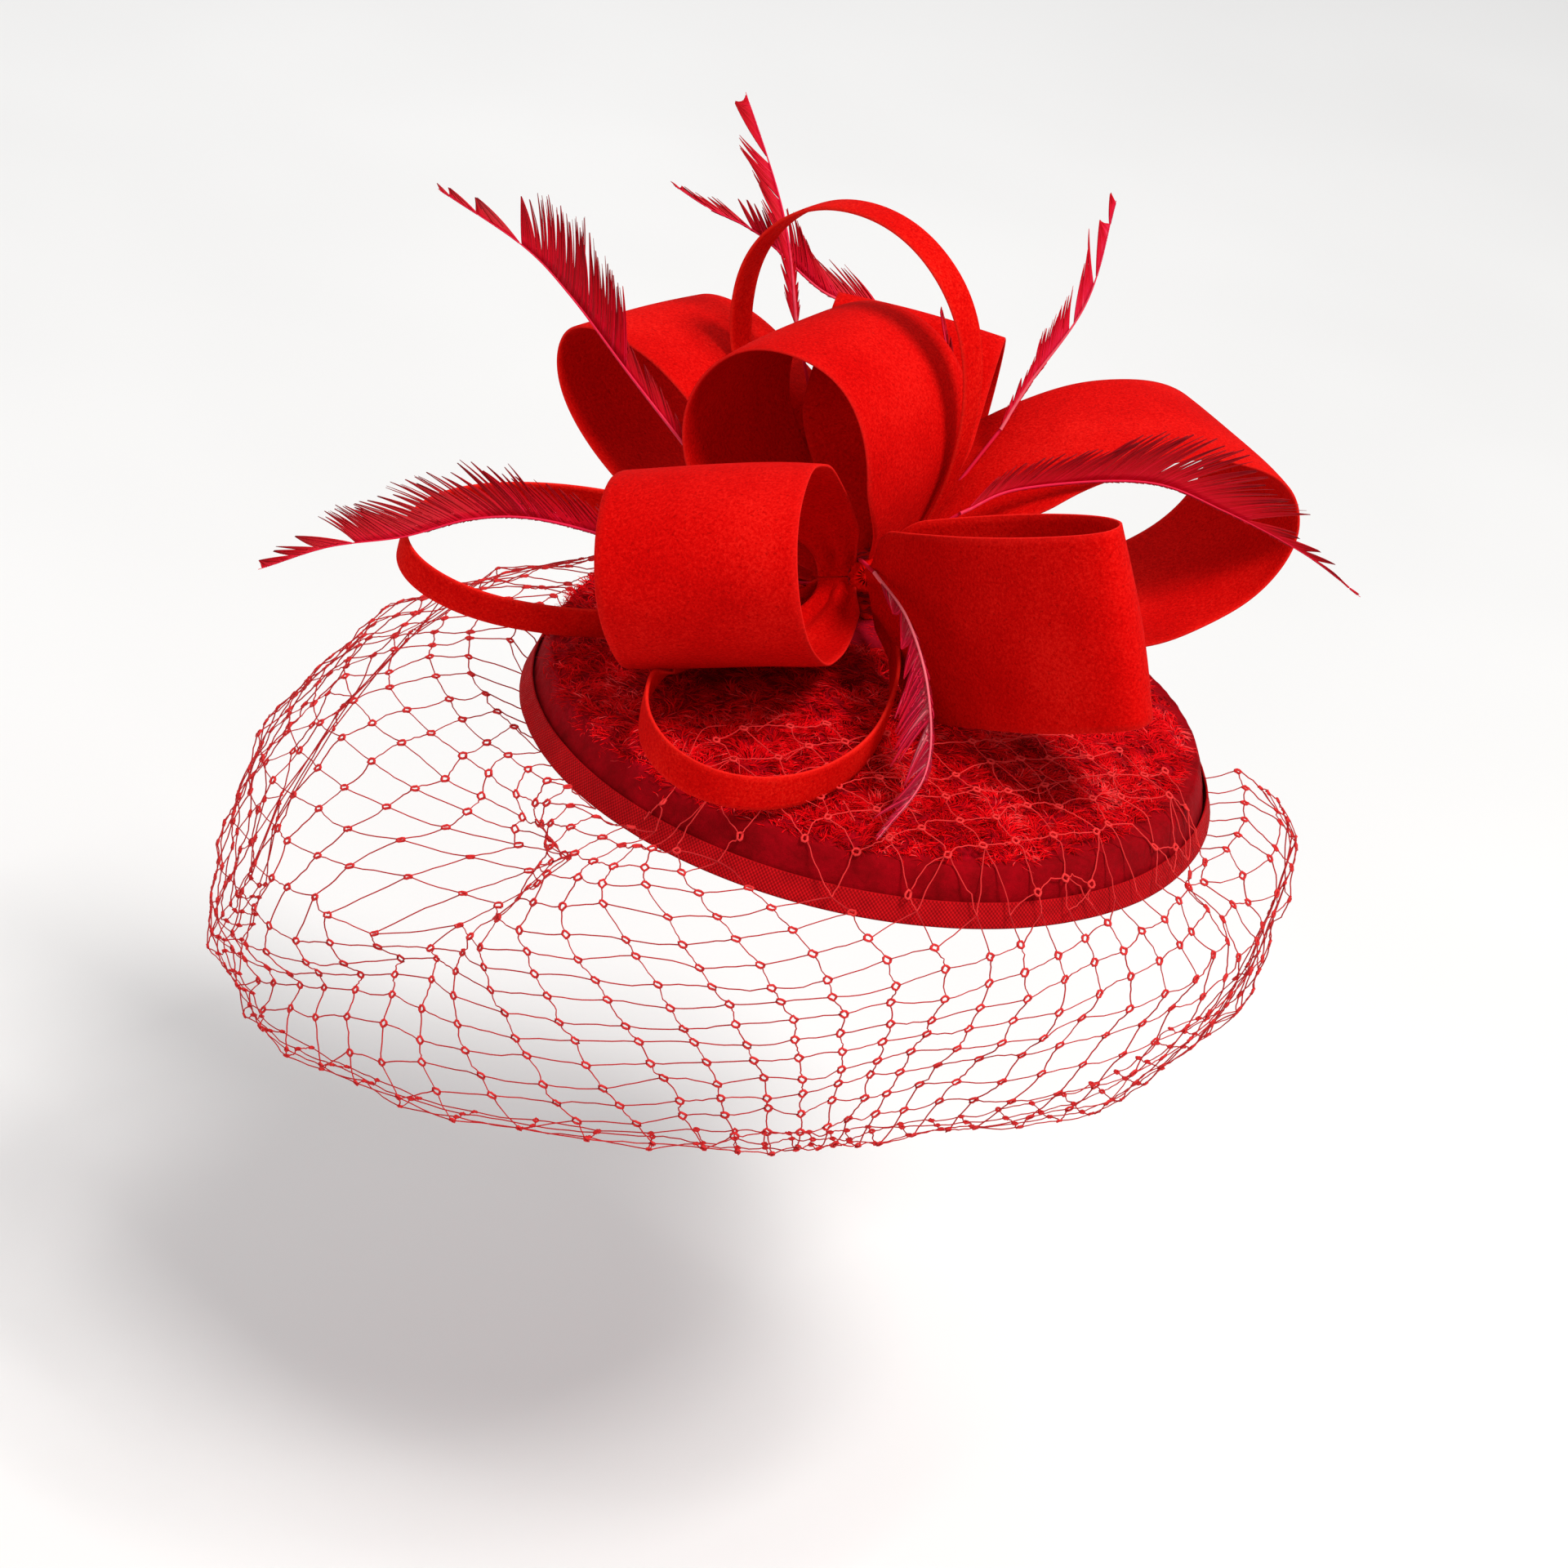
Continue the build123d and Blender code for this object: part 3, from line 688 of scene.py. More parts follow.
for index, (label, kw) in enumerate(RIBBONS.items()):
    narrow = label.startswith("ring")
    surface = ribbon_surface(**kw, seed=index, **(NARROW_SHAPE if narrow else WIDE_SHAPE))
    if label in LEANS_ON:
        surface = push_out(surface, RIBBONS[LEANS_ON[label]])
    surface = above_plush(surface)
    verts, quads = thicken(surface, NARROW_THICK if narrow else WIDE_THICK)
    rows, cols = surface.shape[:2]
    # the edge attribute holds the strength of the painted highlight on the cut edges
    obj = make_mesh(label + "_ribbon", verts, quads, edge=np.tile(edge_highlight_share(cols, kw["width"]), rows))
    obj.data.materials.append(NARROW if narrow else RIBBON)
    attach(obj, "root")
    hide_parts(label)


# ---------------------------------------------------------------- bound centre of the trim
def bound_centre():
    """Gathered ribbon ends bound into a stalk that stands on the patch, and the thread round it."""
    turns, bindings, thread_turns = 132, (-2, 9, 20), 9
    thread_radius, above_patch = 0.28, 1.45
    side = np.array([1.0, 0, 0])
    up = np.cross(STACK, side)

    def around(angle, r, s):
        """Points at these angles and radii about the stalk, this far along it."""
        ring = side * np.cos(angle)[..., None] + up * np.sin(angle)[..., None]
        return KNOT + STACK * s[..., None] + ring * r[..., None]

    s = np.concatenate([np.linspace(-19, 25, 60), [25.6, 26.0]])
    base = 19.5 - 10.5 * ease((s + 19) / 24) - 3.5 * ease((s - 4) / 24)
    base *= np.array([0.55, 0.8, 0.93] + [1.0] * 57 + [0.8, 0.35])
    r, angle = np.meshgrid(base, round_angles(turns), indexing="ij")
    twist = angle + 0.02 * s[:, None]
    folds = 0.10 * np.abs(np.sin(5.5 * twist)) + 0.035 * np.sin(17 * twist + 1) - 0.06
    waist = 0.07 * sum(np.exp(-((s - at) / 1.6) ** 2) for at in bindings)
    r = r * (1 + folds * (1 - 0.6 * (waist > 0.02))[:, None] - waist[:, None])
    verts = around(angle, r, s[:, None])
    # nothing sinks into the felt patch
    verts -= np.minimum((verts - PATCH_FOOT) @ PATCH_UP - above_patch, 0)[..., None] * PATCH_UP
    n = len(s) * turns
    ends = np.array([KNOT + STACK * s[0], KNOT + STACK * (s[-1] + 0.2)])
    fan = []
    for k in range(turns):
        following = (k + 1) % turns
        fan += [(n, following, k), (n + 1, n - turns + k, n - turns + following)]
    verts = np.concatenate([verts.reshape(-1, 3), ends])
    obj = make_mesh("bound_centre", verts, grid_quads(len(s), turns, closed=True), fan, edge=np.zeros(n + 2))
    obj.data.materials.append(RIBBON)
    threads = Heap()
    for at in bindings:
        t = np.linspace(0, 1, thread_turns * 40)
        run = at - 2.4 + 4.8 * (0.5 - 0.5 * np.cos(math.pi * 3 * t))
        radius = np.interp(run, s, base) * 0.93 + 0.5
        threads.tube(around(TAU * thread_turns * t, radius, run), thread_radius, 5, 0.4)
    thread = threads.build("binding_thread")
    thread.data.materials.append(thread_material("sewing_thread", (0.22, 0.0, 0.005), (0.5, 0.01, 0.02)))
    return obj, thread


centre, wraps = bound_centre()
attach(centre, "root")
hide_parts("bow_knot")
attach(wraps, "root")


# ---------------------------------------------------------------- feathers
BARB_POINTS, BARB_SPACING = 8, 0.32


def feather_material():
    """Barbs, dark at the tip and pink where they are palest."""
    s = Shade("feather_barbs", rough=0.5, specular=0.15)
    tone = s.attribute("tone")
    fine = s.noise(500, 3, 0.6)
    s.colour(s.ramp(s.blend(tone, fine, 0.9),
                    [(0.0, (0.16, 0.0, 0.004)), (0.3, (0.50, 0.0, 0.006)), (0.55, (0.70, 0.002, 0.02)),
                     (0.8, (0.82, 0.014, 0.07)), (1.0, (1.0, 0.24, 0.28))]))
    return s.bump(fine, 0.2, 0.0002).mat


FEATHER = feather_material()


def draw_tufts(line, length, tuft, r):
    """Barbs hook together into pointed tufts: moves them in place."""
    count = len(line)
    s = np.linspace(0, 1, BARB_POINTS)[None, :, None]
    edges, k = [0], 0
    while k < count:
        k += max(1, int(r.normal(tuft, tuft * 0.45)))
        edges.append(min(k, count))
    for a, b in zip(edges[:-1], edges[1:]):
        if b - a < 2:
            continue
        lead = line[a + (b - a) // 3]
        spread = line[a:b] - lead
        pull = s ** 1.4 * r.uniform(0.82, 0.97)
        line[a:b] = lead + spread * (1 - pull)
        line[a:b] += unit(lead[-1] - lead[0]) * s * r.normal(0, 0.05) * length[a:b].mean()


def add_barbs(heap, line, lift, broad, tone):
    """Adds each line of points as a barb with a flat three-cornered section."""
    count, corners = len(line), 3
    wide = broad * (0.25 - 0.2 * np.linspace(0, 1, BARB_POINTS) ** 1.6)[None, :, None]
    along = unit(np.gradient(line, axis=1))
    flat = unit(np.cross(lift[:, None] + 0 * along, along))
    ridge = np.cross(along, flat)
    ring = np.stack([line - flat * wide, line + flat * wide, line + ridge * 0.09], 2)
    each = BARB_POINTS * corners
    first = (np.arange(count) * each)[:, None, None]
    quads = first + grid_quads(BARB_POINTS, corners, closed=True, flip=True)
    caps = first + np.array([(0, 2, 1), (each - 3, each - 2, each - 1)])
    heap.add(ring.reshape(-1, 3), quads, caps, np.repeat(tone, corners, axis=1).ravel())


def feather(label, points, side, spans, quill=0.6, seed=0, pink=0.0, broad=1.45):
    """A quill with separate barbs, which spread to the given side of it.

    Each span is (from, to, barb length at each end, angle to the quill, barbs to a tuft, side);
    from and to are shares of the quill, and the last number is 1 or -1.
    """
    r = np.random.default_rng(900 + seed)
    path = spline(points, 220)
    t = np.linspace(0, 1, len(path))
    total = distance_run(path)[-1]
    tangent = unit(np.gradient(path, axis=0))
    side = unit(np.asarray(side, float))
    across = unit(side - tangent * (tangent @ side)[:, None])
    normal = np.cross(tangent, across)
    heap = Heap()
    heap.tube(path, quill * (1 - 0.82 * t), 8, 0.72 + 0.2 * (1 - t) + pink * 0.2)
    # bare end of the quill, bent down into the bound centre
    bend = path[0] - tangent[0] * 0.35 * np.linalg.norm(path[0] - KNOT)
    heap.tube(spline(np.array([KNOT, 0.45 * KNOT + 0.55 * bend, path[0]]), 40), quill, 8, 0.72)
    s = np.linspace(0, 1, BARB_POINTS)[None, :, None]
    for start, stop, long0, long1, angle, tuft, hand in spans:
        count = int((stop - start) * total / BARB_SPACING)
        at = np.sort(start + (stop - start) * (np.arange(count) + r.uniform(-0.3, 0.3, count)) / count)
        at = np.clip(at, 0, 1)
        share = (at - start) / (stop - start)
        place, ahead, out, lift = (sample(at, t, line) for line in (path, tangent, across, normal))
        ahead, out, lift = unit(ahead), unit(out) * hand, unit(lift)
        length = (long0 + (long1 - long0) * share) * r.uniform(0.93, 1.05, count)
        lean = math.radians(angle) * r.uniform(0.95, 1.05, count)
        # each barb sets off at its full angle and bends back towards the quill
        first, last = (ahead * np.cos(v)[:, None] + out * np.sin(v)[:, None] for v in (lean, lean * 0.72))
        course = first[:, None] * (s - s * s / 2) + last[:, None] * s * s / 2
        line = place[:, None] + length[:, None, None] * course
        line += lift[:, None] * (s ** 2) * (0.04 * length + r.normal(0, 0.25, count))[:, None, None]
        draw_tufts(line, length, tuft, r)
        tone = 0.62 + 0.35 * pink - 0.42 * (1 - 0.4 * pink) * np.linspace(0, 1, BARB_POINTS)[None, :] ** 0.8
        tone = tone + r.normal(0, 0.07, count)[:, None] + 0.14 * (r.uniform(0, 1, count) > 0.88)[:, None]
        add_barbs(heap, line, lift, broad, tone)
    obj = heap.build(label + "_plume")
    obj.data.materials.append(FEATHER)
    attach(obj, "root")
    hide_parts(label)


feather("feather_upper_left",
        [(-78, 58, 62), (-106, 66, 84), (-130, 72, 104), (-150, 78, 116), (-182, 84, 127)], (0.5, 0, 1),
        [(0.02, 0.3, 12, 26, 24, 12, 1), (0.3, 0.5, 26, 30, 43, 4, 1), (0.5, 0.66, 29, 23, 49, 3, 1),
         (0.66, 0.73, 22, 18, 46, 12, 1), (0.74, 0.99, 20, 4, 19, 60, 1), (0.03, 0.4, 3, 2, 16, 8, -1)],
        seed=1, pink=-0.25)
feather("feather_left",
        [(-80, 9, 46), (-102, 2, 53), (-125, -8, 58), (-144, -13, 55), (-164, -18, 46), (-187, -23, 39),
         (-208, -26, 27)], (-0.2, 0, 1),
        [(0.0, 0.3, 14, 26, 34, 9, 1), (0.3, 0.52, 26, 28, 45, 5, 1), (0.52, 0.62, 27, 24, 48, 7, 1),
         (0.62, 0.76, 22, 16, 50, 3, 1), (0.77, 0.99, 18, 5, 22, 60, 1), (0.05, 0.6, 1.5, 1.2, 30, 3, -1)],
        seed=2, pink=-0.25)
feather("feather_top",
        [(-54, 102, 99), (-62, 110, 123), (-71, 118, 141), (-88, 126, 169)], (-1, 0, 0.3),
        [(0.0, 0.3, 12, 15, 18, 10, 1), (0.3, 0.52, 17, 22, 26, 8, 1), (0.54, 0.68, 20, 16, 30, 8, 1),
         (0.72, 0.99, 19, 5, 21, 60, 1), (0.0, 0.3, 7, 5, 18, 9, -1)], seed=3)
feather("feather_top_second",
        [(-27, 108, 109), (-47, 112, 109), (-73, 116, 123), (-92, 120, 127), (-106, 124, 131)], (0.2, 0, 1),
        [(0.0, 0.42, 18, 21, 46, 5, 1), (0.42, 0.62, 18, 14, 30, 10, 1), (0.64, 0.82, 16, 12, 14, 8, 1),
         (0.84, 0.99, 9, 3, 12, 40, 1), (0.2, 0.8, 2, 2, 15, 6, -1)], seed=4)
feather("feather_right",
        [(22, 78, 88), (28, 84, 104), (41, 94, 134), (43, 104, 168)], (-1, 0, 0),
        [(0.0, 0.22, 8, 12, 20, 8, 1), (0.24, 0.46, 14, 17, 33, 5, 1), (0.5, 0.66, 17, 20, 29, 14, 1),
         (0.7, 0.99, 17, 5, 20, 60, 1), (0.0, 0.3, 4, 3, 14, 7, -1)], seed=5, pink=0.35)
feather("feather_over_right_loop",
        [(14, 30, 76), (32, 40, 85), (72, 45, 95), (100, 45, 91), (130, 40, 84), (151, 36, 75)], (0, 0, 1),
        [(0.02, 0.28, 13, 26, 34, 5, 1), (0.28, 0.5, 27, 30, 43, 5, 1), (0.5, 0.68, 29, 23, 38, 8, 1),
         (0.68, 0.86, 17, 11, 18, 30, 1), (0.86, 0.99, 6, 2, 10, 30, 1), (0.1, 0.8, 2.5, 2, 20, 5, -1)],
        seed=6, pink=-0.35)
feather("feather_front",
        [(-10, 0, 62), (4, -24, 59), (15, -54, 50), (19, -88, 39), (8, -118, 28)], (-1, 0, 0.3),
        [(0.05, 0.35, 14, 27, 30, 26, 1), (0.35, 0.55, 29, 29, 32, 10, 1), (0.56, 0.84, 29, 18, 23, 50, 1),
         (0.84, 0.99, 10, 3, 12, 40, 1), (0.2, 0.75, 6, 5, 16, 30, -1)],
        seed=7, pink=0.75, broad=2.6, quill=0.7)
feather("feather_small_back",
        [(6, 66, 98), (-1, 73, 112), (-7, 80, 125)], (1, 0, 0.3),
        [(0.0, 0.5, 8, 9, 16, 3, 1), (0.5, 0.98, 8, 3, 12, 4, 1), (0.1, 0.6, 6, 4, 16, 2, -1)], seed=8)


# ---------------------------------------------------------------- veil net
# height, centre in x, and half widths in x and y of the veil's outline, from the rim down
VEIL_LEVELS = np.array([(6, 0, 119.5, 119.5), (0, -5, 143, 131), (-12, -11, 165, 140),
                        (-45, -26, 173, 147), (-85, -44, 167, 147), (-140, -54, 154, 147)], float)
CELL = 13.5
VEIL_FROM, VEIL_TO = -229.0, 14.0
OVER_FROM, OVER_TO = -122.0, -8.0       # azimuths where the net passes over the edge on to the crown
THREAD, KNOT_THREAD, LOOSE_THREAD, KNOT_SIZE, HEM_KNOT_SIZE = 0.24, 0.48, 0.17, 1.3, 0.8
OVER_RIM, TUCKED = (118.7, 5.0), (117.3, -1.2)      # radius and height of threads over and behind the binding
HEM_ROW = -100                                      # number of the lowest row of knots

# Folds: line on the undisturbed veil, where it is pulled to, half width, and how far threads bunch up
FOLDS = [
    (((-134, -99, -21), (-130, -119, -51), (-164, -101, -78), (-189, -73, -102), (-205, -31, -122)),
     ((-86, -86, -20), (-115, -101, -51), (-150, -91, -78), (-178, -66, -102), (-198, -30, -121)),
     (34, 20, 15, 12, 10), (0.75, 0.6, 0.5, 0.4, 0.3)),
    (((128, -46, -3), (151, -27, -14)), ((112, -44, -4), (143, -25, -16)), (15, 12), (0.5, 0.4)),
]


def veil_profile(phi):
    """Points of the veil from the rim down to the hem at one azimuth, and the distance run."""
    z = np.concatenate([np.linspace(6, -12, 40), np.linspace(-12.5, -140, 160)])
    upward = VEIL_LEVELS[::-1]
    cx, rx, ry = sample(z, upward[:, 0], upward[:, 1:]).T
    x, y = cx + (rx - 0.6) * np.cos(phi), (ry - 0.6) * np.sin(phi)
    keep = z >= -89 + 0.17 * x - 0.1 * y
    pts = np.stack([x, y, z], -1)[keep]
    return pts, distance_run(pts)


AZIMUTHS = np.arange(-240.0, 26.0, 1.0)
DROPS = np.array([veil_profile(math.radians(v))[1][-1] for v in AZIMUTHS])


def veil_point(azimuth, above_hem):
    """Point at this azimuth in degrees and distance above the hem; below the hem the net turns in."""
    pts, run = veil_profile(math.radians(azimuth))
    if above_hem >= 0:
        return sample(max(run[-1] - above_hem, 0), run, pts)
    over = -above_hem
    inward = unit(pts[-1] * [-1, -1, 0] + np.array([-30.0, 0, 0]))
    bend = min(over / 4, 1.3)
    curl = inward * 4 * (1 - math.cos(bend)) + np.array([0, 0, -1.6 * math.sin(bend)])
    return pts[-1] + curl + inward * max(0, over - 5) * 0.9


def cut_away(azimuth):
    """How far the edge of the net rises above the level hem, towards both ends of the opening."""
    full = np.interp(azimuth, AZIMUTHS, DROPS)
    end = np.minimum(ease((azimuth - VEIL_FROM + 2) / 36), ease((VEIL_TO + 2 - azimuth) / 30))
    return (full - 22) * (1 - end)


def past_fold(azimuth, above_hem):
    """Degrees that a place lies to the front of the left fold."""
    return azimuth - (-168 + 37 * np.clip(above_hem / 60, 0, 1.3))


def lean(azimuth, above_hem):
    """Sideways travel of the downward threads, in mm for each cell of height."""
    keys = [(-230, 15.5), (-95, 15.0), (-80, 8.0), (-68, 1.0), (-55, -1.2), (-20, -1.5), (5, -1.0), (15, 0.0)]
    side = np.interp(azimuth, *zip(*keys))
    share = ease(past_fold(azimuth, above_hem) / 12)
    return side * share + np.interp(azimuth, [-229, -195], [0.0, 2.5]) * (1 - share)


def row_value(azimuth, above_hem):
    """The cross threads follow steps of this value: level behind the fold, climbing to the right of it."""
    past = np.clip(past_fold(azimuth, above_hem), 0, 200)
    steep = np.clip(past, 0, 72)
    easing = np.clip(past - 72, 0, 30)
    return above_hem - 2.7 * (0.34 * (steep + easing - easing ** 2 / 80) + 0.08 * np.clip(past - 102, 0, 200))


def pull_folds(points):
    """Draws the veil in along its folds, and bunches its threads there."""
    points = points.copy()
    t = np.linspace(0, 1, 80)
    for on_veil, pulled, width, bunch in FOLDS:
        keys = np.linspace(0, 1, len(width))
        start, end = (sample(t, keys, np.array(line, float)) for line in (on_veil, pulled))
        widths, bunches = np.interp(t, keys, width), np.interp(t, keys, bunch)
        gap = np.linalg.norm(points[:, None] - start[None], axis=-1)
        near = np.argmin(gap / widths, axis=1)
        amount = np.exp(-(gap[np.arange(len(points)), near] / widths[near]) ** 2)
        points += ((end - start)[near] + (start[near] - points) * bunches[near, None]) * amount[:, None]
    return points


def top_of_base(points):
    """Height that a thread lying over the plush and the bound edge rests at."""
    r = np.hypot(points[..., 0], points[..., 1])
    rim = np.interp(r, [107.0, 111.0, 113.5, 116.0, 118.0, 118.8], [22.0, 17.0, 13.0, 11.0, 3.5, -2.0])
    return np.where(r < 107, crown_height(np.minimum(r, 107)) + 4.4, rim)


class Net(Heap):
    """Knotted net: small square knots, and single threads from corner to corner."""

    def __init__(self, seed):
        super().__init__()
        self.rng = np.random.default_rng(seed)
        self.corners = {}

    def knot(self, key, at, d1, d2, size, bright):
        """A small loop of thicker thread with its corners along two directions."""
        corners = [at + d1 * size, at + d2 * size, at - d1 * size, at - d2 * size]
        path = spline(np.array(corners + corners[:1]), 9)
        path[1:-1] += self.rng.normal(0, 0.1, (7, 3))
        self.tube(path, KNOT_THREAD, 4, bright + 0.15 * self.rng.random())
        self.corners[key] = corners

    def strand(self, a, b, bright, slack=0.8, rest=False):
        """A thread between the two corners of knots a and b that lie closest together."""
        ends = [(p, q) for p in self.corners[a] for q in self.corners[b]]
        p, q = min(ends, key=lambda pair: np.linalg.norm(pair[0] - pair[1]))
        count = 9 if rest else 6
        t = np.linspace(0, 1, count)[:, None]
        bow = np.sin(math.pi * t)
        path = p + (q - p) * t + bow * self.rng.normal(0, slack * 0.5, 3) - bow * [0, 0, 0.25 * slack]
        path[1:-1] += self.rng.normal(0, 0.12, (count - 2, 3))
        if rest:
            path[:, 2] = np.maximum(path[:, 2], top_of_base(path))
        self.tube(path, THREAD, 4, bright + 0.25 * self.rng.random())


def column_starts():
    """Azimuth and height of each downward thread, on a line where their spacing is known."""
    azimuth = np.arange(VEIL_FROM, VEIL_TO + 0.1, 0.5)
    height = 12 + 38 * ease((azimuth + 120) / 35)
    line = np.array([veil_point(a, h) for a, h in zip(azimuth, height)])
    spacing = np.interp(azimuth, [-175, -155, -95, -75], [13.4, 18.0, 18.0, 13.4])
    step = np.linalg.norm(np.diff(line, axis=0), axis=1) / spacing[1:]
    run = np.concatenate([[0], np.cumsum(step)])
    even = np.linspace(0, run[-1], int(run[-1]) + 1)
    return zip(np.interp(even, run, azimuth), np.interp(even, run, height))


def column_track(azimuth, height):
    """Azimuth, height above the hem and row value down one thread, from its hem up to the rim."""
    def follow(angle, at, step):
        track = []
        while True:
            drop = np.interp(angle, AZIMUTHS, DROPS) - at
            track.append((angle, at, row_value(angle, at)))
            if drop < 0 or at < -1:
                return track
            radius = 119 + 42 * min(drop / 45, 1)
            angle -= math.degrees(lean(angle, at) / radius) * step / CELL
            at += step
    down, up = follow(azimuth, height, -2.0), follow(azimuth, height, 2.0)
    return np.array(down[:0:-1] + up)


def hanging_knots():
    """Places of the knots that hang, by (column, row), and each column's keys from its hem up."""
    place, order = {}, {}
    for column, (azimuth, height) in enumerate(column_starts()):
        track = column_track(azimuth, height)
        raised = track[:, 1] - cut_away(track[:, 0])
        foot = np.interp(0, raised, track[:, 0])
        keys = []
        for step in (3, 2, 1, 0):
            keys.append((column, HEM_ROW - step))
            place[keys[-1]] = veil_point(foot, cut_away(foot) - 4.4 * step)
        values = track[:, 2]
        for row in range(int(values.min() // CELL) - 1, int(values.max() // CELL) + 2):
            if not values.min() < row * CELL < values.max():
                continue
            spot, height = (np.interp(row * CELL, values, track[:, k]) for k in (0, 1))
            if cut_away(spot) + 5 < height < track[-1, 1] - 6:
                keys.append((column, row))
                place[keys[-1]] = veil_point(spot, height)
        top = track[-1, 0]
        rim, z = OVER_RIM if OVER_FROM < top < OVER_TO else TUCKED
        keys.append((column, "rim"))
        place[keys[-1]] = polar(rim, math.radians(top), z)
        order[column] = keys
    return place, order


def crown_knots(r):
    """Knots of the flat part of the net that lies over the plush, by (step, step)."""
    turn = math.radians(38)
    first = CELL * np.array([math.cos(turn), math.sin(turn)])
    second = 0.94 * CELL * np.array([-math.sin(turn), math.cos(turn)])
    place = {}
    for i in range(-10, 11):
        for j in range(-10, 11):
            x, y = i * first + j * second + r.normal(0, 1.5, 2)
            far, azimuth = math.hypot(x, y), math.degrees(math.atan2(y, x))
            if 44 < far < 116.5 and OVER_FROM - 4 < azimuth < OVER_TO:
                spot = np.array([x, y, 0.0])
                spot[2] = top_of_base(spot) + 0.3
                place["crown", i, j] = spot
    return place


def sway(keys, place, r):
    """Lets the hanging part of the net wander, and draws it in along its folds."""
    spots = np.array([place[k] for k in keys])
    wave = waves(51, 14, 60, 150)
    shift = 2.4 * np.stack([wave(spots), wave(spots[:, [1, 2, 0]]), 0.4 * wave(spots[:, [2, 0, 1]])], -1)
    free = ease((np.hypot(spots[:, 0], spots[:, 1]) - 121) / 14)[:, None]
    spots = pull_folds(spots + (shift + r.normal(0, 0.7, spots.shape)) * free)
    place.update(zip(keys, spots))


def rim_joins(hanging, crown):
    """Pairs of crown knot and rim end that a thread joins; ends with no partner are tucked in."""
    rims = [k for k in hanging if k[1] == "rim"]
    rim_spots = np.array([hanging[k] for k in rims])
    joins = []
    for key, at in crown.items():
        gaps = np.linalg.norm(rim_spots[:, :2] - at[:2], axis=1)
        joins += [(key, rims[n]) for n in np.argsort(gaps)[:2] if gaps[n] < 16]
    joined = {rim for _, rim in joins}
    for key in rims:
        if key not in joined:
            radius, height = TUCKED
            hanging[key] = unit(hanging[key] * [1, 1, 0]) * radius + np.array([0, 0, height])
    return joins


def slope(ends, at, fallback):
    """Direction of the thread through a knot, from the knots on either side of it."""
    if not ends:
        return fallback
    return unit(ends[-1] - (ends[0] if len(ends) == 2 else at))


def tie_columns(net, hanging, order):
    """Knots and downward threads of the hanging net."""
    for column, line in order.items():
        for n, (_, row) in enumerate(line):
            at = hanging[column, row]
            if row == "rim":
                net.corners[column, row] = [at]
                continue
            beside = [hanging[k] for k in ((column - 1, row), (column + 1, row)) if k in hanging]
            above = [hanging[line[m]] for m in (n + 1, n - 1) if m >= 0]
            d1, d2 = slope(beside, at, np.array([1.0, 0, 0])), slope(above, at, np.array([0, 0, -1.0]))
            # painted highlight: the knots are painted lighter than the threads of the hanging net, which are
            # painted darker
            net.knot((column, row), at, d1, d2, KNOT_SIZE if row > HEM_ROW else HEM_KNOT_SIZE, 0.6)
        for lower, upper in zip(line[:-1], line[1:]):
            net.strand(lower, upper, 0.1)


def tie_rows(net, hanging, keys):
    """Cross threads of the hanging net; where a row stops, its last thread goes to the hem or the rim."""
    for column, row in keys:
        for beside in (column - 1, column + 1):
            if (beside, row) in hanging:
                if beside > column:
                    net.strand((column, row), (beside, row), 0.1)
                continue
            ends = [k for k in ((beside, "rim"), (beside, HEM_ROW)) if k in hanging]
            gaps = [np.linalg.norm(hanging[k] - hanging[column, row]) for k in ends]
            if gaps and min(gaps) < 21 and row > HEM_ROW:
                net.strand((column, row), ends[int(np.argmin(gaps))], 0.1)


def tie_crown(net, crown, joins):
    """Knots and threads of the net over the plush, and the threads that run over the edge."""
    for key, at in crown.items():
        _, i, j = key
        beside = [crown[k] for k in (("crown", i - 1, j), ("crown", i + 1, j)) if k in crown]
        above = [crown[k] for k in (("crown", i, j - 1), ("crown", i, j + 1)) if k in crown]
        d1, d2 = slope(beside, at, np.array([1.0, 0, 0])), slope(above, at, np.array([0, 1.0, 0]))
        # painted highlight: knots and threads lying over the plush are painted lighter than those of the
        # hanging net
        net.knot(key, at, d1, d2, KNOT_SIZE, 0.85)
    for key, rim in joins:
        net.strand(key, rim, 0.6, 1.0, rest=True)
    for key in crown:
        _, i, j = key
        for other in (("crown", i + 1, j), ("crown", i, j + 1)):
            if other in crown:
                net.strand(key, other, 0.7, 1.6, rest=True)


def loose_ends(net):
    """Short curls of loose thread lying over the plush."""
    r = net.rng
    for _ in range(26):
        azimuth, far = r.uniform(-125, -5), r.uniform(50, 104)
        spot = polar(far, math.radians(azimuth))
        step = r.normal(0, 9, (2, 3)) * [1, 1, 0]
        path = spline(np.array([spot, spot + step[0], spot + step[0] + step[1] * 0.8]), 14)
        path[:, 2] = top_of_base(path) + 0.4 + 0.5 * np.sin(np.linspace(0, 6, 14))
        if (np.hypot(path[:, 0], path[:, 1]) < 109).all():
            # painted highlight: the loose threads lying on top are painted light
            net.tube(path, LOOSE_THREAD, 4, 0.9)


def veil_net():
    """The whole net as one piece: hanging part, part over the plush, and loose ends."""
    net = Net(77)
    hanging, order = hanging_knots()
    crown = crown_knots(net.rng)
    keys = [k for k in hanging if k[1] != "rim"]
    sway(keys, hanging, net.rng)
    joins = rim_joins(hanging, crown)
    tie_columns(net, hanging, order)
    tie_rows(net, hanging, keys)
    tie_crown(net, crown, joins)
    loose_ends(net)
    return net.build("veil_net")


veil = veil_net()
veil.data.materials.append(thread_material("net_thread", (0.40, 0.004, 0.008), (0.86, 0.035, 0.035)))
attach(veil, "root")
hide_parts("veil")


# ---------------------------------------------------------------- felt pads and patch
FELT = felt_material("felt_red", (0.22, 0.0, 0.006), (0.42, 0.006, 0.02))
STITCH = thread_material("felt_stitching", (0.25, 0.0, 0.005), (0.55, 0.02, 0.03))


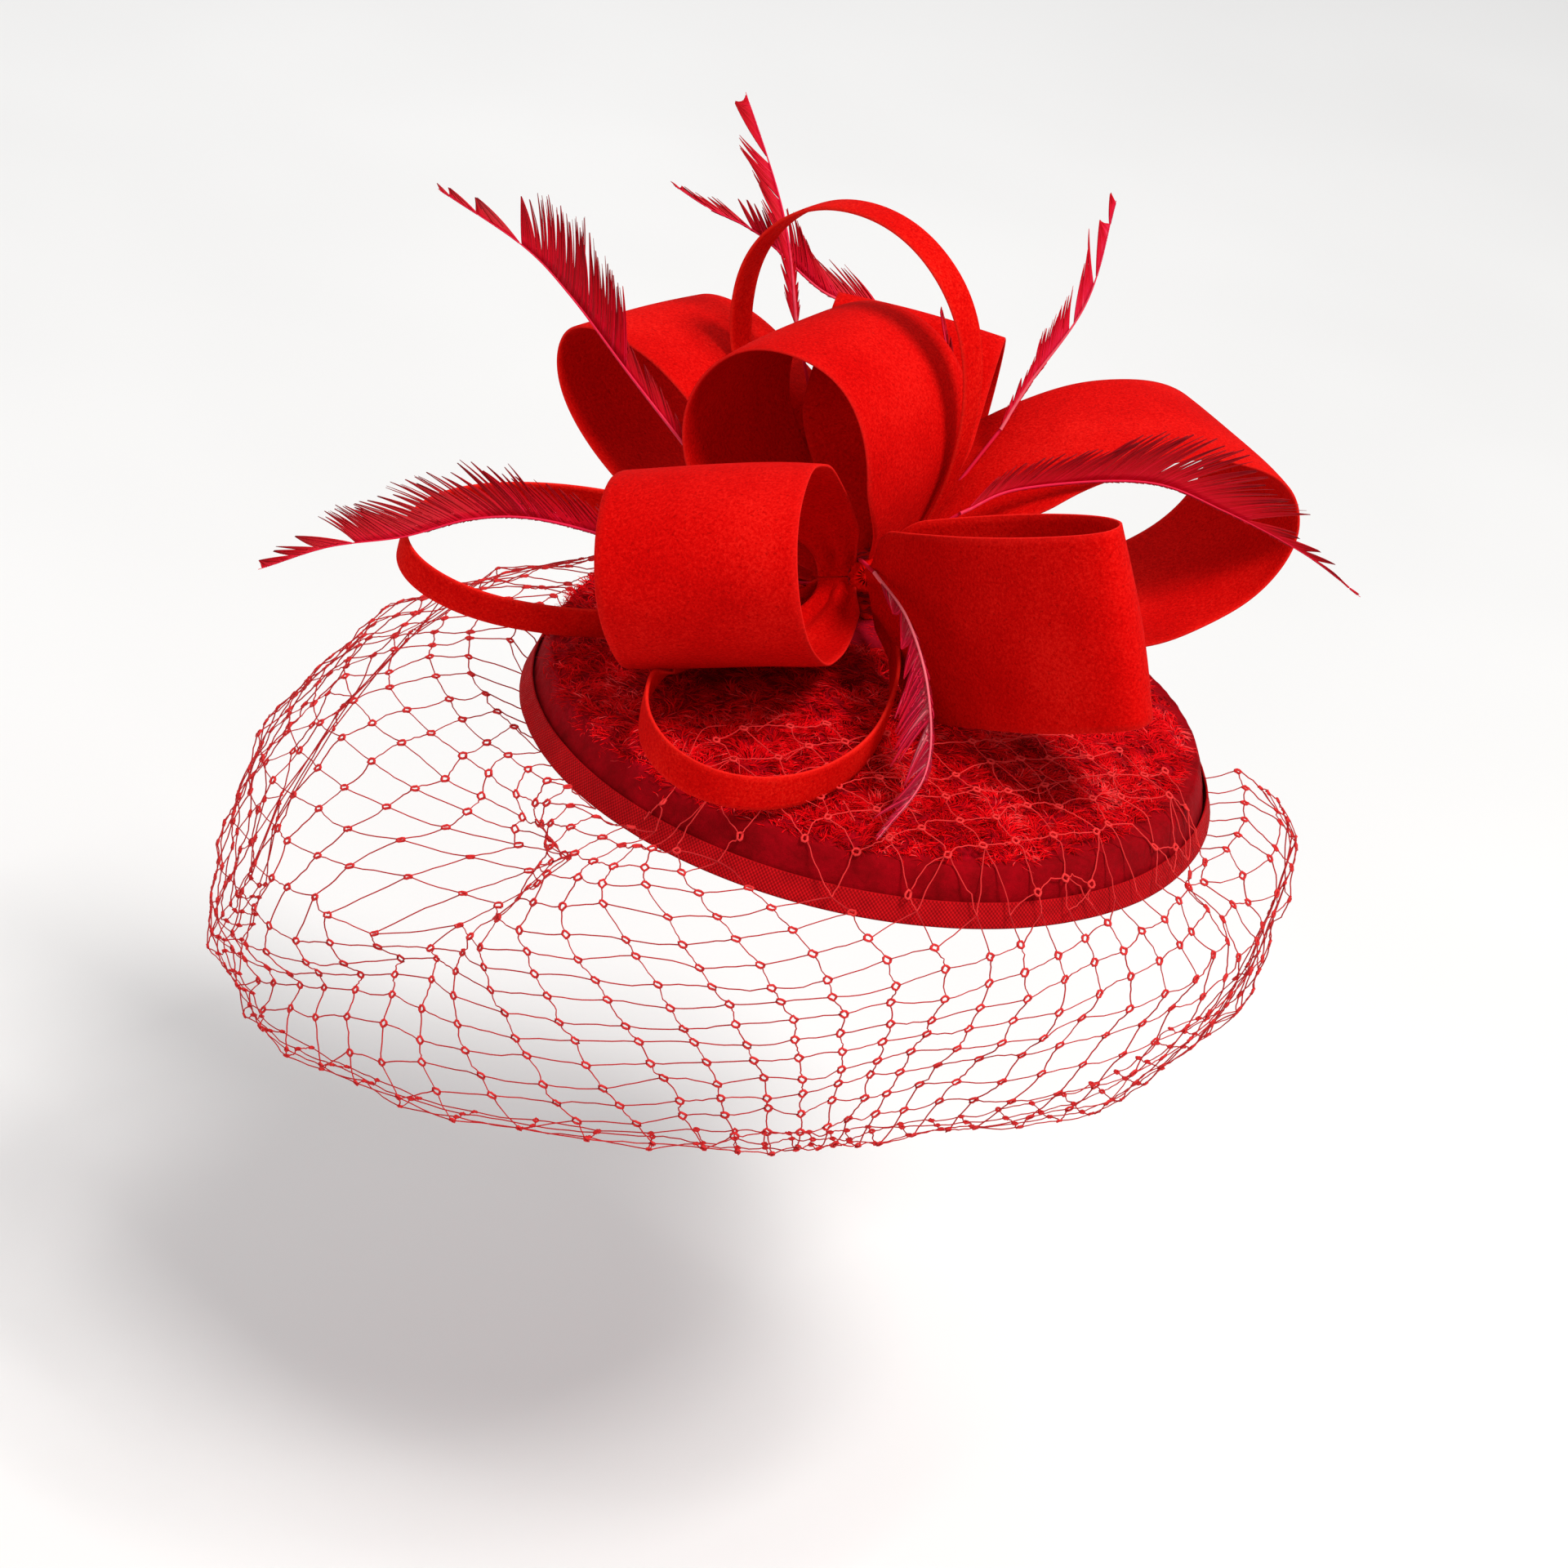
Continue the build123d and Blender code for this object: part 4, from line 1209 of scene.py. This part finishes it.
FELT_THICK = 1.5
STITCH_RADIUS, STITCH_LENGTH, STITCH_EVERY = 0.19, 2.5, 4.2
STITCH_INSET = 0.86                                        # share of the outline that the stitches run on
PAD_LENGTH, PAD_WIDTH = 50.0, 13.0
PATCH_R = 23.9
CLIP_X, CLIP_Z, CLIP_TILT = 70.0, 16.793, 0.08159          # middle of a clip, and its lean in radians


def felt_piece(label, plane, outline):
    """A cut piece of felt with a rounded edge, sewn down with small stitches near its edge.

    plane is (origin, x, y, z); outline(angle) gives a point of the edge.
    """
    origin, x, y, z = (np.asarray(v, float) for v in plane)
    turns = 240
    edge = np.array([outline(a) for a in round_angles(turns)])
    bulge = waves(61 + len(label), 20, 5, 18)
    # (share of the outline, share of the thickness), from the hub below round the edge to the hub above
    layers = [(0.0, 0.12), (0.9, 0.06), (0.975, 0.03), (0.995, 0.22), (1.0, 0.5), (0.995, 0.78),
              (0.975, 0.97), (0.9, 0.98), (0.6, 0.98), (0.3, 0.98), (0.0, 0.98)]
    rows = []
    for size, level in layers:
        spot = edge * size
        dip = 0.12 * (1 + bulge(np.c_[spot, spot[:, 0] * 0])) if level > 0.9 else 0
        height = FELT_THICK * (level - dip)
        rows.append(origin + x * spot[:, :1] + y * spot[:, 1:] + z * np.reshape(height, (-1, 1)))
    obj = make_mesh(label + "_felt", np.concatenate(rows), grid_quads(len(layers), turns, closed=True))
    obj.data.materials.append(FELT)
    threads = Heap()
    closed = np.vstack([edge, edge[:1]])
    run = distance_run(closed)
    lift = FELT_THICK * (0.6 + 0.25 * np.sin(np.linspace(0, math.pi, 9)) ** 0.5)
    for start in np.arange(1, run[-1] - 2, STITCH_EVERY):
        flat = sample(np.linspace(start, start + STITCH_LENGTH, 9), run, closed * STITCH_INSET)
        path = origin + x * flat[:, :1] + y * flat[:, 1:] + z * lift[:, None]
        threads.tube(path, STITCH_RADIUS, 6, 0.5)
    stitches = threads.build(label + "_stitches")
    stitches.data.materials.append(STITCH)
    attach(obj, "root")
    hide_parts(label)
    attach(stitches, "root")
    return obj, stitches, edge


def round_patch(angle):
    """Edge of the round patch."""
    return PATCH_R * np.array([math.cos(angle), math.sin(angle)])


def pad_outline(angle):
    """Rectangle with rounded corners."""
    across = np.array([math.cos(angle), math.sin(angle)])
    return np.array([PAD_LENGTH / 2, PAD_WIDTH / 2]) * across / np.sum(np.abs(across) ** 7) ** (1 / 7)


for turn, name in ((-1, "left"), (1, "right")):
    along = np.array([turn * math.cos(CLIP_TILT), 0, -math.sin(CLIP_TILT)])
    down = np.array([-turn * math.sin(CLIP_TILT), 0, -math.cos(CLIP_TILT)])
    corner = np.array([turn * CLIP_X, 0, CLIP_Z]) + 7 * along + 0.6 * down
    pad, stitches, edge = felt_piece("clip_pad_" + name, (corner, along, (0, -turn, 0), down), pad_outline)

patch_x = unit(np.cross((0, 1, 0), PATCH_UP))
patch_plane = (PATCH_FOOT, patch_x, np.cross(PATCH_UP, patch_x), PATCH_UP)
patch, stitches, edge = felt_piece("trim_patch", patch_plane, round_patch)


# ---------------------------------------------------------------- looks of the carried nodes
CLIP = metal_material("clip_nickel", (0.62, 0.6, 0.57), 0.32)
SPRING = metal_material("spring_steel", (0.5, 0.5, 0.52), 0.25)
WIRE = metal_material("edge_wire", (0.45, 0.45, 0.47), 0.35)
SHELL = felt_material("stiffened_shell", (0.30, 0.004, 0.01), (0.5, 0.02, 0.03))

for name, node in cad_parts.items():
    if name.startswith("clip_spring"):
        material = SPRING
    elif name.startswith("clip_"):
        material = CLIP
    elif name == "brim_wire":
        material = WIRE
    elif name == "base_shell":
        material = SHELL
    else:
        continue
    node.data.materials.clear()
    node.data.materials.append(material)


# ---------------------------------------------------------------- camera, floor and light
AIM = Vector((-0.024, -0.0093, -0.0175))
DISTANCE, ELEVATION, ROLL = 1.7, math.radians(28), math.radians(12.5)
LENS, SENSOR = 116.25, 36.0
FLOOR_Z, FLOOR_HALF = -300.0, 3000.0


def place_camera():
    """Camera in front of the object, raised and rolled as in the photograph."""
    back = Vector((0, -math.cos(ELEVATION), math.sin(ELEVATION)))
    up = Vector((0, math.sin(ELEVATION), math.cos(ELEVATION)))
    right = Vector((1, 0, 0))
    x_axis = right * math.cos(ROLL) + up * math.sin(ROLL)
    y_axis = up * math.cos(ROLL) - right * math.sin(ROLL)
    matrix = Matrix((x_axis, y_axis, back)).transposed().to_4x4()
    matrix.translation = AIM + back * DISTANCE
    data = bpy.data.cameras.new("camera")
    data.lens, data.sensor_width = LENS, SENSOR
    camera = bpy.data.objects.new("camera", data)
    camera.matrix_world = matrix
    bpy.context.scene.collection.objects.link(camera)
    bpy.context.scene.camera = camera


place_camera()


def pale_floor():
    """A wide flat floor in nearly the tone of the world behind it."""
    s = Shade("pale_floor", rough=0.9, specular=0.1)
    s.colour(s.ramp(s.noise(3, 2, 0.5), [(0.3, (0.86, 0.86, 0.86)), (0.7, (0.90, 0.90, 0.90))]))
    n = 24
    steps = np.linspace(-FLOOR_HALF, FLOOR_HALF, n)
    verts = [(x, y, FLOOR_Z) for x in steps for y in steps]
    obj = make_mesh("floor", verts, grid_quads(n, n))
    obj.data.materials.append(s.mat)


pale_floor()


def area_light(name, at, power, size, colour=(1, 1, 1)):
    """A square light that faces the middle of the frame."""
    data = bpy.data.lights.new(name, "AREA")
    data.energy, data.size, data.color = power, size, colour
    light = bpy.data.objects.new(name, data)
    light.location = at
    light.rotation_mode = "QUATERNION"
    light.rotation_quaternion = (Vector((0, 0, 0)) - Vector(at)).to_track_quat("-Z", "Y")
    bpy.context.scene.collection.objects.link(light)


area_light("key", (0.8, -0.6, 2.1), 44, 0.6, (1.0, 0.98, 0.95))
area_light("fill", (-1.8, -1.2, 0.7), 4, 1.4)
area_light("back", (-0.4, 1.9, 1.2), 8, 1.2)

world = bpy.data.worlds.new("studio")
world.use_nodes = True
world.node_tree.nodes["Background"].inputs["Color"].default_value = (1, 1, 1, 1)
world.node_tree.nodes["Background"].inputs["Strength"].default_value = 0.52
bpy.context.scene.world = world
bpy.context.scene.view_settings.view_transform = "Standard"
